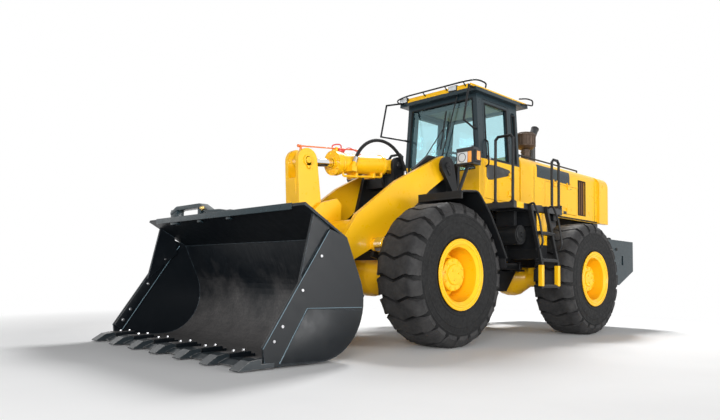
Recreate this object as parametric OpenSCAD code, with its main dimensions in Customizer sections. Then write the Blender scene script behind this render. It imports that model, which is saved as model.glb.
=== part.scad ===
// Wheel loader: articulated frame, four equal wheels, bucket on a Z-bar linkage.
// Millimetres, +X forward, +Y left, +Z up, ground at z = 0, origin under the middle of the machine.
// Places along X are measured from the front axle, and ahead() moves them into the machine's frame.

/* [Overall] */
// Distance between the axles
wheelbase = 3150; // [2950:10:3400]
// Distance from the middle plane to the centre of each tyre
half_tread = 1118; // [1080:1:1180]
// Reach of the bucket teeth ahead of the front axle
tooth_reach = 2840; // [2780:5:2900]
// Length behind the rear axle
rear_overhang = 2110; // [2050:10:2300]
// Width of the bucket
bucket_w = 2940; // [2800:10:3100]

/* [Wheels] */
// Outer radius of the tyres
tyre_r = 805; // [780:5:830]
// Width of the tyres
tyre_w = 584; // [540:2:600]
// Radius of the bead seat on the rim
seat_r = 318; // [300:1:330]
// Radius of the outer rim flange
flange_r = 395; // [380:1:410]
// Width of the rim over its flanges
rim_w = 570; // [540:2:580]
// Radius of the wheel hub
hub_r = 230; // [200:5:240]
// Radius of the hub's round cover
cover_r = 185; // [150:5:190]
// Radius of the axle spindle
spindle_r = 90; // [70:1:110]

/* [Frames] */
// Inner face of the frame plates from the middle plane
frame_in = 420; // [400:5:430]
// Thickness of the frame plates
frame_t = 50; // [30:1:60]
// Height of the top edge of both frames
frame_top = 1280; // [1250:5:1300]
// Height of the bottom edge of both frames at the pivot
frame_low = 600; // [580:5:640]
// Radius of the two pivot pins between the frames
pivot_pin_r = 45; // [35:1:60]
// Thickness of each hinge plate at the pivot
lug_t = 50; // [40:1:60]

/* [Boom] */
// Boom pivot ahead of the front axle
boom_x = -690; // [-720:5:-660]
// Height of the boom pivot
boom_z = 2190; // [2150:5:2230]
// Radius of the boom pivot pins
boom_pin_r = 50; // [40:1:60]
// Inner face of the boom arms from the middle plane
arm_in = 500; // [490:5:520]
// Thickness of the boom arms
arm_t = 60; // [40:1:70]
// Bucket hinge ahead of the front axle
hinge_x = 1393; // [1370:1:1410]
// Height of the bucket hinge
hinge_z = 397; // [380:1:410]
// Radius of the bucket hinge pins
hinge_pin_r = 42; // [30:1:50]
// Radius of the cross tube between the arms
cross_r = 130; // [110:5:140]

/* [Linkage] */
// Bellcrank pivot ahead of the front axle
crank_x = 1058; // [1040:1:1080]
// Height of the bellcrank pivot
crank_z = 1289; // [1270:1:1310]
// Upper bellcrank eye ahead of the front axle
top_x = 1160; // [1140:1:1180]
// Height of the upper bellcrank eye
top_z = 2060; // [2040:1:2080]
// Lower bellcrank eye ahead of the front axle
low_x = 942; // [920:1:960]
// Height of the lower bellcrank eye
low_z = 563; // [540:1:580]
// Bucket ear for the tilt link ahead of the front axle
ear_x = 1481; // [1460:1:1500]
// Height of the bucket ear for the tilt link
ear_z = 749; // [730:1:770]
// Radius of the bellcrank pivot pin
crank_pin_r = 55; // [40:1:60]
// Radius of the tilt link pin
link_pin_r = 40; // [30:1:50]
// Inner face of the bellcrank plates from the middle plane
crank_in = 70; // [65:1:80]
// Thickness of the bellcrank plates
crank_t = 50; // [40:1:60]

/* [Cylinders] */
// Base pin of the tilt cylinder ahead of the front axle
tilt_base_x = -335; // [-350:1:-320]
// Height of the tilt cylinder's base pin
tilt_base_z = 2215; // [2200:1:2230]
// Outer radius of the tilt cylinder barrel
tilt_barrel_r = 122; // [110:1:130]
// Radius of the tilt rod
tilt_rod_r = 50; // [40:1:60]
// Distance from the tilt cylinder's base pin to the end of its gland
tilt_barrel_len = 1040; // [980:5:1045]
// Base pin of the lift cylinders ahead of the front axle
lift_base_x = -810; // [-830:5:-790]
// Height of the lift cylinders' base pin
lift_base_z = 1410; // [1390:5:1430]
// Pin of the lift rods on the boom ahead of the front axle
lift_pin_x = 510; // [490:5:530]
// Height of the lift rods' pin on the boom
lift_pin_z = 1130; // [1110:5:1150]
// Middle plane of each lift cylinder
lift_y = 680; // [670:5:690]
// Outer radius of the lift cylinder barrels
lift_barrel_r = 82; // [70:1:85]
// Radius of the lift rods
lift_rod_r = 48; // [40:1:55]
// Distance from the lift cylinders' base pin to the end of their glands
lift_barrel_len = 1130; // [1080:5:1180]
// Outer radius of the steering barrels
steer_barrel_r = 52; // [45:1:55]
// Radius of the steering rods
steer_rod_r = 28; // [20:1:32]

/* [Bucket] */
// Rear face of the bucket's curl ahead of the front axle
curl_x = 1540; // [1530:1:1560]
// Radius of the bucket's curl
curl_r = 500; // [480:5:520]
// Height of the bucket's floor above the ground
floor_z = 24; // [16:1:40]
// Thickness of the bucket's wrapper and side plates
bucket_t = 26; // [20:1:32]
// Number of bucket teeth
tooth_count = 7; // [5:1:9]

/* [Cab] */
// Half the width of the cab at its waist
cab_half = 675; // [650:5:690]
// Half the width of the cab under its roof
cab_top_half = 615; // [590:5:640]
// Height of the cab floor's underside
cab_low = 1750; // [1740:5:1770]
// Height of the cab's waist
waist_z = 2400; // [2360:5:2440]
// Height of the cab's upper rim
cab_top = 3300; // [3250:5:3340]
// Thickness of the cab's walls and doors
cab_wall = 50; // [40:1:60]
// Width of each cab door
door_w = 640; // [600:5:660]

/* [Hood and tail] */
// Half the width of the hood
hood_half = 680; // [650:5:690]
// Height of the hood's underside
hood_low = 1760; // [1740:5:1780]
// Height of the hood's top
hood_top = 2590; // [2550:5:2620]
// Thickness of the hood's panels
hood_wall = 30; // [20:1:40]
// Half the width of the counterweight
weight_half = 1130; // [1100:5:1150]
// Height of the counterweight's top
weight_top = 1450; // [1430:5:1470]
// Height of the counterweight's underside
weight_low = 720; // [700:5:760]

/* [Platform] */
// Outer edge of the side decks from the middle plane
deck_out = 1150; // [1120:5:1180]
// Height of the side decks' top
deck_z = 1780; // [1770:5:1800]
// Thickness of the side decks' edge
deck_t = 80; // [60:5:90]

/* [Fits] */
// Radial running clearance of pins and rods
run = 0.05; // [0.02:0.01:0.1]
// Gap round a door or lid
door_gap = 6; // [5:1:10]
// Gap between glass and its frame
glass_gap = 0.3; // [0.2:0.1:0.5]
// Side gap at an eye that is not pinned
float_gap = 10; // [6:1:14]

/* [Hidden] */
$fn = 64;

yellow = "#f7b512";
black = "#1b1d20";
slate = "#38424c";
steel = "#9aa0a6";

big = 4000;
pivot_x = -wheelbase / 2;
rear_x = -wheelbase;
tail_x = rear_x - rear_overhang;
front_axle_x = -(tooth_reach + tail_x) / 2;
half_bucket = bucket_w / 2;
frame_out = frame_in + frame_t;
arm_out = arm_in + arm_t;

// Cab places
cab_front = pivot_x + 255;
cab_rear = pivot_x - 725;
cab_floor = cab_low + 40;
door_front = cab_front - 120;
door_rear = door_front - door_w;
door_low = cab_low + 110;
door_high = cab_top - 60;

// Deck and hood places
deck_front = pivot_x + 155;
deck_rear = rear_x + 490;
hood_front = cab_rear - 30;
hood_rear = rear_x - 1610;
housing_rear = tail_x + 245;
grille_rear = housing_rear - 125;
housing_half = hood_half + 55;
hood_door_front = rear_x + 150;
hood_door_rear = rear_x - 860;
hood_door_low = hood_low + 70;
hood_door_high = hood_top - 300;
hood_edge_r = 150;
weight_front = rear_x - 1000;
weight_rear = tail_x;
rail_end = weight_front - 550;
fork_root = pivot_x - 325;

// Steering cylinder pins
steer_z = 960;
steer_rear_x = pivot_x - 930;
steer_rear_y = frame_out + 70;
steer_front_x = pivot_x + 100;
steer_front_y = 440;

module ahead() translate([front_axle_x, 0, 0]) children();

module both_sides() {
    children();
    mirror([0, 1, 0]) children();
}

// Extrudes an outline drawn in X and Z between two places along Y
module slab(y0, y1) translate([0, y1, 0]) rotate([90, 0, 0]) linear_extrude(y1 - y0) children();

// Extrudes an outline drawn in Y and Z between two places along X
module slab_x(x0, x1) translate([x0, 0, 0]) rotate([90, 0, 90]) linear_extrude(x1 - x0) children();

// Box between two corners
module box(a, b) translate(a) cube(b - a);

// Round bar along Y
module bar_y(x, z, r, y0, y1) translate([x, y0, z]) rotate([-90, 0, 0]) cylinder(r = r, h = y1 - y0);

// Round bar along Z
module bar_z(x, y, r, z0, z1) translate([x, y, z0]) cylinder(r = r, h = z1 - z0);

// Round bar between two points
module rod(a, b, r) {
    d = b - a;
    translate(a) rotate([0, acos(d.z / norm(d)), atan2(d.y, d.x)]) cylinder(r = r, h = norm(d));
}

// Bent tube through a list of points, with a slightly fuller ball at each bend
module bent_tube(points, r) {
    for (i = [0 : len(points) - 2]) rod(points[i], points[i + 1], r);
    for (i = [1 : len(points) - 2]) translate(points[i]) sphere(r + 1);
}

// Puts a cylinder drawn along +X from its base pin onto the line between two pins in the X and Z plane
module along(x0, z0, x1, z1) translate([x0, 0, z0]) rotate([0, -atan2(z1 - z0, x1 - x0), 0]) children();

// Eye with its axis along Y
module eye(r, half) rotate([90, 0, 0]) cylinder(r = r, h = 2 * half, center = true);

// Straight bar outline between two round ends of different radius
module bar_outline(a, ra, b, rb) {
    d = b - a;
    n = [-d.y, d.x] / norm(d);
    polygon([a + n * ra, a - n * ra, b - n * rb, b + n * rb]);
    translate(a) circle(ra);
    translate(b) circle(rb);
}

// Wheels: local Z points outboard
module wheel_place(x, side) {
    ahead() translate([x, side * half_tread, tyre_r]) rotate([side > 0 ? -90 : 90, 0, 0]) children();
}

module tyre_outline() {
    half = tyre_w / 2;
    bead = rim_w / 2 - 37;
    wall = [for (i = [0 : 8]) let (t = i / 8)
        [flange_r + 15 + (tyre_r - 95 - flange_r) * t, half - 14 + 14 * sin(180 * min(1, t * 1.1))]];
    crown = [[tyre_r - 30, half - 44], [tyre_r - 8, half - 90], [tyre_r, half - 150]];
    side = concat([[seat_r + glass_gap, bead], [flange_r - 30, bead + 2], [flange_r - 4, bead + 22]], wall, crown);
    flip = [for (i = [len(side) - 1 : -1 : 0]) [side[i].x, -side[i].y]];
    polygon(concat(side, flip));
}

module tyre(x, side) color("#2b2d30") wheel_place(x, side) rotate_extrude($fn = 96) tyre_outline();

module rim(x, side) color(yellow) wheel_place(x, side) rotate_extrude($fn = 96) polygon([
    [spindle_r + run, -250], [hub_r, -250], [hub_r, -70], [seat_r - 18, -70],
    [seat_r - 18, -rim_w / 2], [flange_r - 30, -rim_w / 2], [flange_r - 30, -rim_w / 2 + 20],
    [seat_r, -rim_w / 2 + 30], [seat_r, rim_w / 2 - 30], [flange_r - 23, rim_w / 2 - 23],
    [flange_r, rim_w / 2], [flange_r - 65, rim_w / 2], [seat_r - 18, rim_w / 2 - 23],
    [seat_r - 18, -30], [hub_r + 8, -30], [hub_r - 5, 60], [cover_r, 75], [cover_r, 168],
    [cover_r - 12, 180], [0, 180], [0, -90], [spindle_r + run, -90]
]);

// Axle: banjo housing, brake drums and spindles, with a drive nose
module axle(x, nose) color(yellow) ahead() {
    face = half_tread - 250 - glass_gap;
    half = [[280, 50], [262, 130], [200, 230], [140, 330], [130, face - 230], [150, face - 205],
        [235, face - 165], [235, face], [spindle_r, face], [spindle_r, face + 152], [0, face + 152]];
    flip = [for (i = [len(half) - 1 : -1 : 0]) [half[i].x, -half[i].y]];
    translate([x, 0, tyre_r]) {
        rotate([-90, 0, 0]) rotate(35) rotate_extrude($fn = 96) polygon(concat(half, flip));
        rotate([0, nose * 90, 0]) cylinder(r = 150, h = 340);
        rotate([0, nose * 90, 0]) cylinder(r = 85, h = 470);
    }
    // Saddle pads under the frame
    both_sides() box([x - 170, frame_in - 20, tyre_r + 60], [x + 170, frame_out + 20, axle_top]);
}

axle_top = 960;

module rear_axle() axle(rear_x, 1);
module front_axle() axle(0, -1);

// Horizontal hinge plate: round end at the pivot, widening to the frame
module hinge_plate(root_x, root_half, z, end_r) translate([0, 0, z]) linear_extrude(lug_t) {
    translate([pivot_x, 0]) circle(end_r);
    polygon([[pivot_x, end_r], [pivot_x, -end_r], [root_x, -root_half], [root_x, root_half]]);
}

upper_lug_z = frame_top - 105;
lower_lug_z = frame_low + 55;

module pivot_holes(r) for (z = [frame_low - 60, frame_top - 250]) bar_z(pivot_x, 0, r, z, z + 320);

module rear_frame() color(black) ahead() {
    both_sides() difference() {
        slab(frame_in, frame_out) polygon([
            [fork_root, frame_low], [rear_x + 860, frame_low], [rear_x + 560, axle_top], [rear_x - 560, axle_top],
            [rear_x - 760, 780], [rail_end, 780], [rail_end, frame_top - 30], [fork_root - 200, frame_top],
            [fork_root, frame_top]]);
        // Slot that the steering cylinder passes through
        box([steer_rear_x + 110, frame_in - 1, steer_z - 75], [fork_root + 1, frame_out + 1, steer_z + 75]);
    }
    // Front bulkhead with the drive shaft hole
    difference() {
        box([fork_root - 40, -frame_in, frame_low], [fork_root, frame_in, frame_top]);
        translate([fork_root - 60, 0, tyre_r + 90]) rotate([0, 90, 0]) cylinder(r = 130, h = 100);
    }
    // Hinge forks with their pins
    for (z = [lower_lug_z, upper_lug_z]) {
        for (dz = [-lug_t - 5, lug_t + 5]) hinge_plate(fork_root, frame_in, z + dz, 130);
        bar_z(pivot_x, 0, pivot_pin_r, z - lug_t - 15, z + 2 * lug_t + 15);
    }
    // Rear cross beams
    box([rear_x - 900, -frame_in, 1000], [rear_x - 820, frame_in, frame_top - 60]);
    box([rear_x + 640, -frame_in, frame_low + 280], [rear_x + 700, frame_in, frame_low + 380]);
    both_sides() {
        // Cab posts
        for (x = [cab_rear + 20, cab_rear + 300])
            box([x, frame_in, frame_top - 30], [x + 90, frame_out + 20, cab_low]);
        // Deck arms
        box([cab_rear + 300, frame_out, deck_z - deck_t - 80], [cab_rear + 390, deck_out - 60, deck_z - deck_t]);
        box([deck_rear + 40, frame_out, deck_z - deck_t - 80], [deck_rear + 130, deck_out - 60, deck_z - deck_t]);
        box([deck_rear + 40, frame_in, frame_top - 30], [deck_rear + 130, frame_out, deck_z - deck_t]);
        // Hood stands
        for (x = [hood_rear + 120, deck_rear - 200]) {
            box([x, frame_in, frame_top - 30], [x + 70, frame_out, hood_low]);
            box([x, frame_out, hood_low - 60], [x + 70, hood_half, hood_low]);
        }
        // Steering cylinder brackets
        difference() {
            for (z = [steer_z - 70, steer_z + 40]) box([steer_rear_x - 60, frame_out, z],
                [steer_rear_x + 60, steer_rear_y + 60, z + 30]);
            bar_z(steer_rear_x, steer_rear_y, 25 + run, steer_z - 100, steer_z + 100);
        }
    }
}

module counterweight() color(slate) ahead() difference() {
    slab(-weight_half, weight_half) polygon([
        [weight_front, weight_top], [weight_front, weight_low], [weight_front - 400, weight_low],
        [weight_rear, weight_low + 310], [weight_rear, weight_top - 60], [weight_rear + 60, weight_top]]);
    // Pocket for the frame rails
    box([rail_end, -frame_out, weight_low - 1], [weight_front + 1, frame_out, weight_top + 1]);
    // Tow jaw and its pin bore
    box([weight_rear - 1, -110, weight_low + 430], [weight_rear + 170, 110, weight_low + 540]);
    bar_z(weight_rear + 90, 0, tow_bore_r, weight_low - 1, weight_top + 1);
    // Slots in the sides
    both_sides() box([weight_front - 560, weight_half - 60, weight_low + 330],
        [weight_front - 500, weight_half + 1, weight_low + 480]);
    // Rounded upper corners seen from above
    both_sides() translate([weight_rear, weight_half, 0]) rotate([0, 0, 45])
        translate([-120, -120, weight_low - 10]) cube([240, 240, 900]);
}

tow_bore_r = 25;

module engine_block() color(slate) ahead() {
    box([rear_x - 790, -340, frame_top - 60], [rear_x + 120, 340, hood_top - 360]);
    both_sides() for (x = [rear_x - 620, rear_x - 60])
        box([x, 330, frame_top - 90], [x + 120, frame_in, frame_top - 40]);
}

module transmission() color(slate) ahead() {
    box([rear_x + 720, -300, frame_low + 120], [rear_x + 1130, 300, frame_top + 120]);
    box([rear_x + 130, -250, frame_top - 120], [rear_x + 720, 250, frame_top + 200]);
    both_sides() box([rear_x + 780, 300, frame_top - 160], [rear_x + 900, frame_in, frame_top - 80]);
    translate([rear_x + 472, 0, tyre_r]) rotate([0, 90, 0]) cylinder(r = 70, h = 249);
}

module radiator() color("#4a4d50") ahead() difference() {
    box([housing_rear - 10, -540, weight_top], [hood_rear - 20, 540, hood_top - 210]);
    for (i = [0 : 11]) box([housing_rear - 11, -500, weight_top + 260 + i * 55],
        [housing_rear + 10, 500, weight_top + 300 + i * 55]);
}

module tanks() color(black) ahead() {
    top = deck_z - deck_t;
    both_sides() slab(frame_out + 180, deck_out - 40) difference() {
        union() {
            translate([cab_rear - 10, top - 640]) square([290, 640]);
            translate([cab_rear + 270, top - 200]) square([110, 120]);
        }
        translate([cab_rear + 280, top - 640]) rotate(45) square(180, center = true);
    }
    both_sides() bar_y(cab_rear + 530, top - 330, 130, frame_out + 130, deck_out - 120);
    both_sides() box([cab_rear + 500, frame_out + 200, top - 240], [cab_rear + 560, deck_out - 200, top]);
}

module platforms() color(black) ahead() both_sides() difference() {
    union() {
        box([deck_rear, cab_half + 25, deck_z - deck_t], [deck_front, deck_out, deck_z]);
        box([deck_rear, cab_half + 25, deck_z], [deck_rear + 12, deck_out, deck_z + 60]);
    }
    box([deck_rear + 150, cab_half + 65, deck_z - deck_t - 1], [cab_rear + 280, deck_out - 40, deck_z - 14]);
    box([cab_rear + 600, cab_half + 65, deck_z - deck_t - 1], [deck_front - 40, deck_out - 40, deck_z - 14]);
}

ladder_front = pivot_x - 175;
ladder_rear = pivot_x - 625;
ladder_foot_y = deck_out + 170;

module ladders() color(black) ahead() both_sides() {
    for (x = [ladder_front - 40, ladder_rear]) slab_x(x, x + 40) polygon([
        [deck_out, deck_z - 70], [deck_out, deck_z], [deck_out + 40, deck_z], [ladder_foot_y + 40, 1000],
        [ladder_foot_y + 40, 660], [ladder_foot_y, 660], [ladder_foot_y, 1000]]);
    box([ladder_rear + 40, deck_out + 50, 1370], [ladder_front - 40, deck_out + 170, 1400]);
    box([ladder_rear + 40, ladder_foot_y - 90, 1010], [ladder_front - 40, ladder_foot_y + 40, 1040]);
    box([ladder_rear + 40, ladder_foot_y - 90, 670], [ladder_front - 40, ladder_foot_y + 40, 700]);
}

rail_r = 19;

module handrails() color(black) ahead() {
    both_sides() {
        x = deck_front - 20;
        y = deck_out - 30;
        bent_tube([[x, y - 270, deck_z], [x, y - 270, 2620], [x, y - 230, 2660], [x, y - 40, 2660],
            [x, y, 2620], [x, y, deck_z]], rail_r);
        xr = deck_rear + 40;
        bent_tube([[xr, y, deck_z], [xr, y, 2440], [xr + 40, y, 2480], [xr + 150, y, 2480],
            [xr + 190, y, 2440], [xr + 190, y, deck_z]], rail_r);
        // Mirror stay from the roof's front corner down and back to the cab's front post
        bent_tube([[cab_front + 160, 640, 3345], [cab_front + 345, cab_half + 75, 3300],
            [cab_front + 450, cab_half + 75, 2815], [cab_front + 60, cab_half - 57, 2800]], 13);
        rod([cab_front + 110 + glass_gap, 640, 3345], [cab_front + 172, 640, 3345], 15);
        rod([cab_front + glass_gap, cab_half - 57, 2800], [cab_front + 75, cab_half - 57, 2800], 15);
    }
    // Rail along the hood's left edge
    bent_tube([[hood_front - 200, hood_half - 160, hood_top], [hood_front - 200, hood_half - 160, hood_top + 45],
        [hood_rear + 450, hood_half - 160, hood_top + 45], [hood_rear + 450, hood_half - 160, hood_top]], 12);
}

// Hood section with rounded upper edges, drawn in Y and Z
module hood_outline(half, low, top, r) {
    translate([-half, low]) square([2 * half, top - low - r]);
    translate([-half + r, low]) square([2 * (half - r), top - low]);
    for (s = [-1, 1]) translate([s * (half - r), top - r]) circle(r);
}

// Hood door hinges: pins on the hood above the door and sleeves on the door
hood_hinges = [hood_door_rear + 250, hood_door_front - 330];

module hood_hinge_pins() for (x = hood_hinges) {
    translate([x - 20, hood_half + hinge_off, hood_door_high]) rotate([0, 90, 0]) cylinder(r = 8, h = 120);
    for (dx = [-20, 82]) slab_x(x + dx, x + dx + 18) {
        translate([hood_half + hinge_off, hood_door_high]) circle(13);
        translate([hood_half - 5, hood_door_high]) square([hinge_off + 11, 45]);
    }
}

module hood_hinge_sleeves() for (x = hood_hinges) slab_x(x, x + 80) difference() {
    union() {
        translate([hood_half + hinge_off, hood_door_high]) circle(13);
        translate([hood_half + 3, hood_door_high - 20]) square([hinge_off + 3, 20]);
        translate([hood_half - 5, hood_door_high - 60]) square([hinge_off + 11, 48]);
    }
    translate([hood_half + hinge_off, hood_door_high]) circle(8 + run);
}

// Grille hinges: pins on the housing's right edge and sleeves on the grille
grille_hinges = [hood_low + 150, hood_top - 290];
grille_pin_x = grille_rear + 60;
grille_pin_y = -612;

module grille_hinge_pins() for (z = grille_hinges) {
    bar_z(grille_pin_x, grille_pin_y, 8, z - 20, z + 90);
    for (dz = [-20, 72]) translate([0, 0, z + dz]) linear_extrude(18) {
        translate([grille_pin_x, grille_pin_y]) circle(13);
        translate([grille_pin_x - 13, grille_pin_y - 80]) square([26, 80]);
        translate([grille_pin_x - 13, grille_pin_y - 80]) square([83, 35]);
    }
}

module grille_hinge_sleeves() for (z = grille_hinges) translate([0, 0, z]) linear_extrude(70) difference() {
    union() {
        translate([grille_pin_x, grille_pin_y]) circle(13);
        translate([grille_pin_x - 13, grille_pin_y]) square([26, 30]);
    }
    translate([grille_pin_x, grille_pin_y]) circle(8 + run);
}

module hood_shell() color(yellow) ahead() {
    hood_box();
    both_sides() hood_hinge_pins();
    grille_hinge_pins();
}

module hood_box() difference() {
    union() {
        slab_x(hood_rear, hood_front) hood_outline(hood_half, hood_low, hood_top, hood_edge_r);
        slab_x(housing_rear, hood_rear + 60) hood_outline(housing_half, hood_low, hood_top - 20, hood_edge_r + 20);
    }
    slab_x(housing_rear - 1, hood_front - hood_wall)
        hood_outline(hood_half - hood_wall, hood_low - 1, hood_top - hood_wall, hood_edge_r - hood_wall);
    // Side door openings
    both_sides() box([hood_door_rear, hood_half - hood_wall - 1, hood_door_low],
        [hood_door_front, hood_half + 1, hood_door_high]);
    // Tall air slots behind the doors
    both_sides() box([hood_door_rear - 280, hood_half - hood_wall - 1, hood_low + 100],
        [hood_door_rear - 40, hood_half + 1, hood_top - hood_edge_r - 20]);
}

module hood_door() {
    difference() {
        box([hood_door_rear + door_gap, hood_half - hood_wall, hood_door_low + door_gap],
            [hood_door_front - door_gap, hood_half, hood_door_high - door_gap]);
        // Latch pocket
        box([hood_door_rear + 330, hood_half - 14, hood_door_low + 40],
            [hood_door_rear + 450, hood_half + 1, hood_door_low + 100]);
    }
    hood_hinge_sleeves();
}

module left_hood_door() color(yellow) ahead() hood_door();
module right_hood_door() color(yellow) ahead() mirror([0, 1, 0]) hood_door();

grille_half = 590;
grille_low = hood_low + 50;
grille_high = hood_top - 170;

module rear_grille() color(yellow) ahead() {
    grille_pan();
    grille_hinge_sleeves();
}

module grille_pan() difference() {
    slab_x(grille_rear, housing_rear - door_gap - 10) hood_outline(grille_half, grille_low, grille_high, 80);
    slab_x(grille_rear + 30, housing_rear) hood_outline(grille_half - 40, grille_low + 40, grille_high - 40, 50);
    for (i = [0 : 8]) box([grille_rear - 1, -grille_half + 90, grille_low + 70 + i * 56],
        [grille_rear + 31, grille_half - 90, grille_low + 100 + i * 56]);
}

module exhaust_stack() color("#3a3632") ahead() {
    x = rear_x - 410;
    translate([x, 110, hood_top]) cylinder(r = 110, h = 14);
    translate([x, 110, hood_top]) cylinder(r = 62, h = 580);
    rod([x, 110, hood_top + 540], [x - 110, 110, hood_top + 720], 61);
}

module air_precleaner() color(black) ahead() translate([rear_x + 130, 330, hood_top]) {
    rotate_extrude() polygon([[0, 0], [95, 0], [95, 14], [68, 16], [68, 225], [120, 245], [148, 275], [150, 460],
        [138, 482], [60, 492], [0, 494]]);
}

// Cab section, drawn in Y and Z, moved inwards by a wall's thickness
module cab_outline(in, low, over = 0) {
    lean = (cab_half - cab_top_half) / (cab_top - waist_z);
    top_half = cab_top_half - in - lean * over;
    polygon([[-cab_half + in, low], [cab_half - in, low], [cab_half - in, waist_z], [top_half, cab_top + over],
        [-top_half, cab_top + over], [-cab_half + in, waist_z]]);
}

// Layer of the cab's side walls between two depths
module cab_layer(in0, in1) difference() {
    slab_x(cab_rear, cab_front) cab_outline(in0, cab_low);
    slab_x(cab_rear - 1, cab_front + 1) cab_outline(in1, cab_low - 1, 10);
}

// Window outline in the front and rear walls
module pane_outline(in, low, grow) polygon([
    [-cab_half + in - grow, low - grow], [cab_half - in + grow, low - grow], [cab_half - in + grow, waist_z],
    [cab_top_half - in + grow, cab_top - 70 + grow], [-cab_top_half + in - grow, cab_top - 70 + grow],
    [-cab_half + in - grow, waist_z]]);

front_sill = waist_z - 140;
rear_sill = waist_z - 60;
quarter_front = door_rear - 70;
quarter_rear = cab_rear + 70;

module door_window(grow, y0, y1) {
    box([door_rear + 60 - grow, y0, waist_z + 30 - grow], [door_front - 60 + grow, y1, door_high - 60 + grow]);
    slab(y0, y1) polygon([[door_front - 60 + grow, waist_z - 60 + grow], [door_rear + 150 - 2 * grow, waist_z - 60 + grow],
        [door_front - 60 + grow, door_low + 130 - 2 * grow]]);
}

module quarter_window(grow, y0, y1) box([quarter_rear - grow, y0, waist_z + 30 - grow],
    [quarter_front + grow, y1, door_high - 60 + grow]);

// Door hinges: pins on the cab's wall and sleeves on the door
door_hinges = [door_low + 90, waist_z - 200];
hinge_off = 14;

module door_hinge_pins() for (z = door_hinges) {
    bar_z(door_rear, cab_half + hinge_off, 8, z - 20, z + 90);
    for (dz = [-20, 72]) translate([0, 0, z + dz]) linear_extrude(18) {
        translate([door_rear, cab_half + hinge_off]) circle(13);
        translate([door_rear - 60, cab_half - 5]) square([60, hinge_off + 11]);
    }
}

module door_hinge_sleeves() for (z = door_hinges) translate([0, 0, z]) linear_extrude(70) difference() {
    union() {
        translate([door_rear, cab_half + hinge_off]) circle(13);
        translate([door_rear, cab_half + 3]) square([20, hinge_off + 3]);
        translate([door_rear + 12, cab_half - 5]) square([60, hinge_off + 11]);
    }
    translate([door_rear, cab_half + hinge_off]) circle(8 + run);
}

module cab_body() color(slate) ahead() {
    cab_box();
    both_sides() door_hinge_pins();
}

module cab_box() difference() {
    slab_x(cab_rear, cab_front) cab_outline(0, cab_low);
    slab_x(cab_rear + cab_wall, cab_front - cab_wall) cab_outline(cab_wall, cab_floor, 10);
    slab_x(cab_front - cab_wall - 1, cab_front + 1) pane_outline(75, front_sill, 0);
    slab_x(cab_rear - 1, cab_rear + cab_wall + 1) pane_outline(75, rear_sill, 0);
    both_sides() {
        box([door_rear, cab_top_half - cab_wall - 20, door_low], [door_front, cab_half + 1, door_high]);
        quarter_window(0, cab_top_half - cab_wall - 20, cab_half + 1);
    }
}

module cab_roof() color(yellow) ahead() slab_x(cab_rear - 190, cab_front + 110) polygon([
    [-cab_half - 20, cab_top], [cab_half + 20, cab_top], [cab_half + 10, cab_top + 70], [cab_half - 70, cab_top + 110],
    [-cab_half + 70, cab_top + 110], [-cab_half - 10, cab_top + 70]]);

module cab_glass() color("#9fd0d8") ahead() {
    slab_x(cab_front - 32, cab_front - 24) pane_outline(75, front_sill, -glass_gap);
    slab_x(cab_rear + 24, cab_rear + 32) pane_outline(75, rear_sill, -glass_gap);
    intersection() {
        cab_layer(24, 32);
        both_sides() quarter_window(-glass_gap, cab_top_half - cab_wall - 20, cab_half + 1);
    }
}

module door() {
    difference() {
        intersection() {
            cab_layer(0, cab_wall);
            box([door_rear + door_gap, 0, door_low + door_gap], [door_front - door_gap, big, door_high - door_gap]);
        }
        door_window(0, cab_top_half - cab_wall - 20, cab_half + 1);
    }
    door_hinge_sleeves();
}

module door_glass() intersection() {
    cab_layer(24, 32);
    door_window(-glass_gap, 0, cab_half + 1);
}

module left_door() color(yellow) ahead() door();
module right_door() color(yellow) ahead() mirror([0, 1, 0]) door();
module left_door_glass() color("#9fd0d8") ahead() door_glass();
module right_door_glass() color("#9fd0d8") ahead() mirror([0, 1, 0]) door_glass();

seat_x = cab_rear + 330;

module seat() color("#22252a") ahead() {
    box([seat_x - 150, -160, cab_floor], [seat_x + 150, 160, cab_floor + 300]);
    box([seat_x - 240, -250, cab_floor + 300], [seat_x + 250, 250, cab_floor + 430]);
    slab(-240, 240) polygon([[seat_x - 240, cab_floor + 430], [seat_x - 130, cab_floor + 430],
        [seat_x - 190, cab_floor + 1050], [seat_x - 280, cab_floor + 1050]]);
}

module steering_console() color(black) ahead() {
    x = cab_front - 170;
    box([x - 60, -170, cab_floor], [x + 70, 170, cab_floor + 420]);
    rod([x - 20, 0, cab_floor + 380], [x - 130, 0, cab_floor + 720], 42);
    translate([x - 130, 0, cab_floor + 720]) rotate([0, -18, 0]) {
        rotate_extrude() translate([190, 0]) circle(16, $fn = 24);
        for (a = [0, 120, 240]) rotate(a) translate([0, -14, -8]) cube([190, 28, 16]);
        cylinder(r = 50, h = 24, center = true);
    }
}

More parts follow.
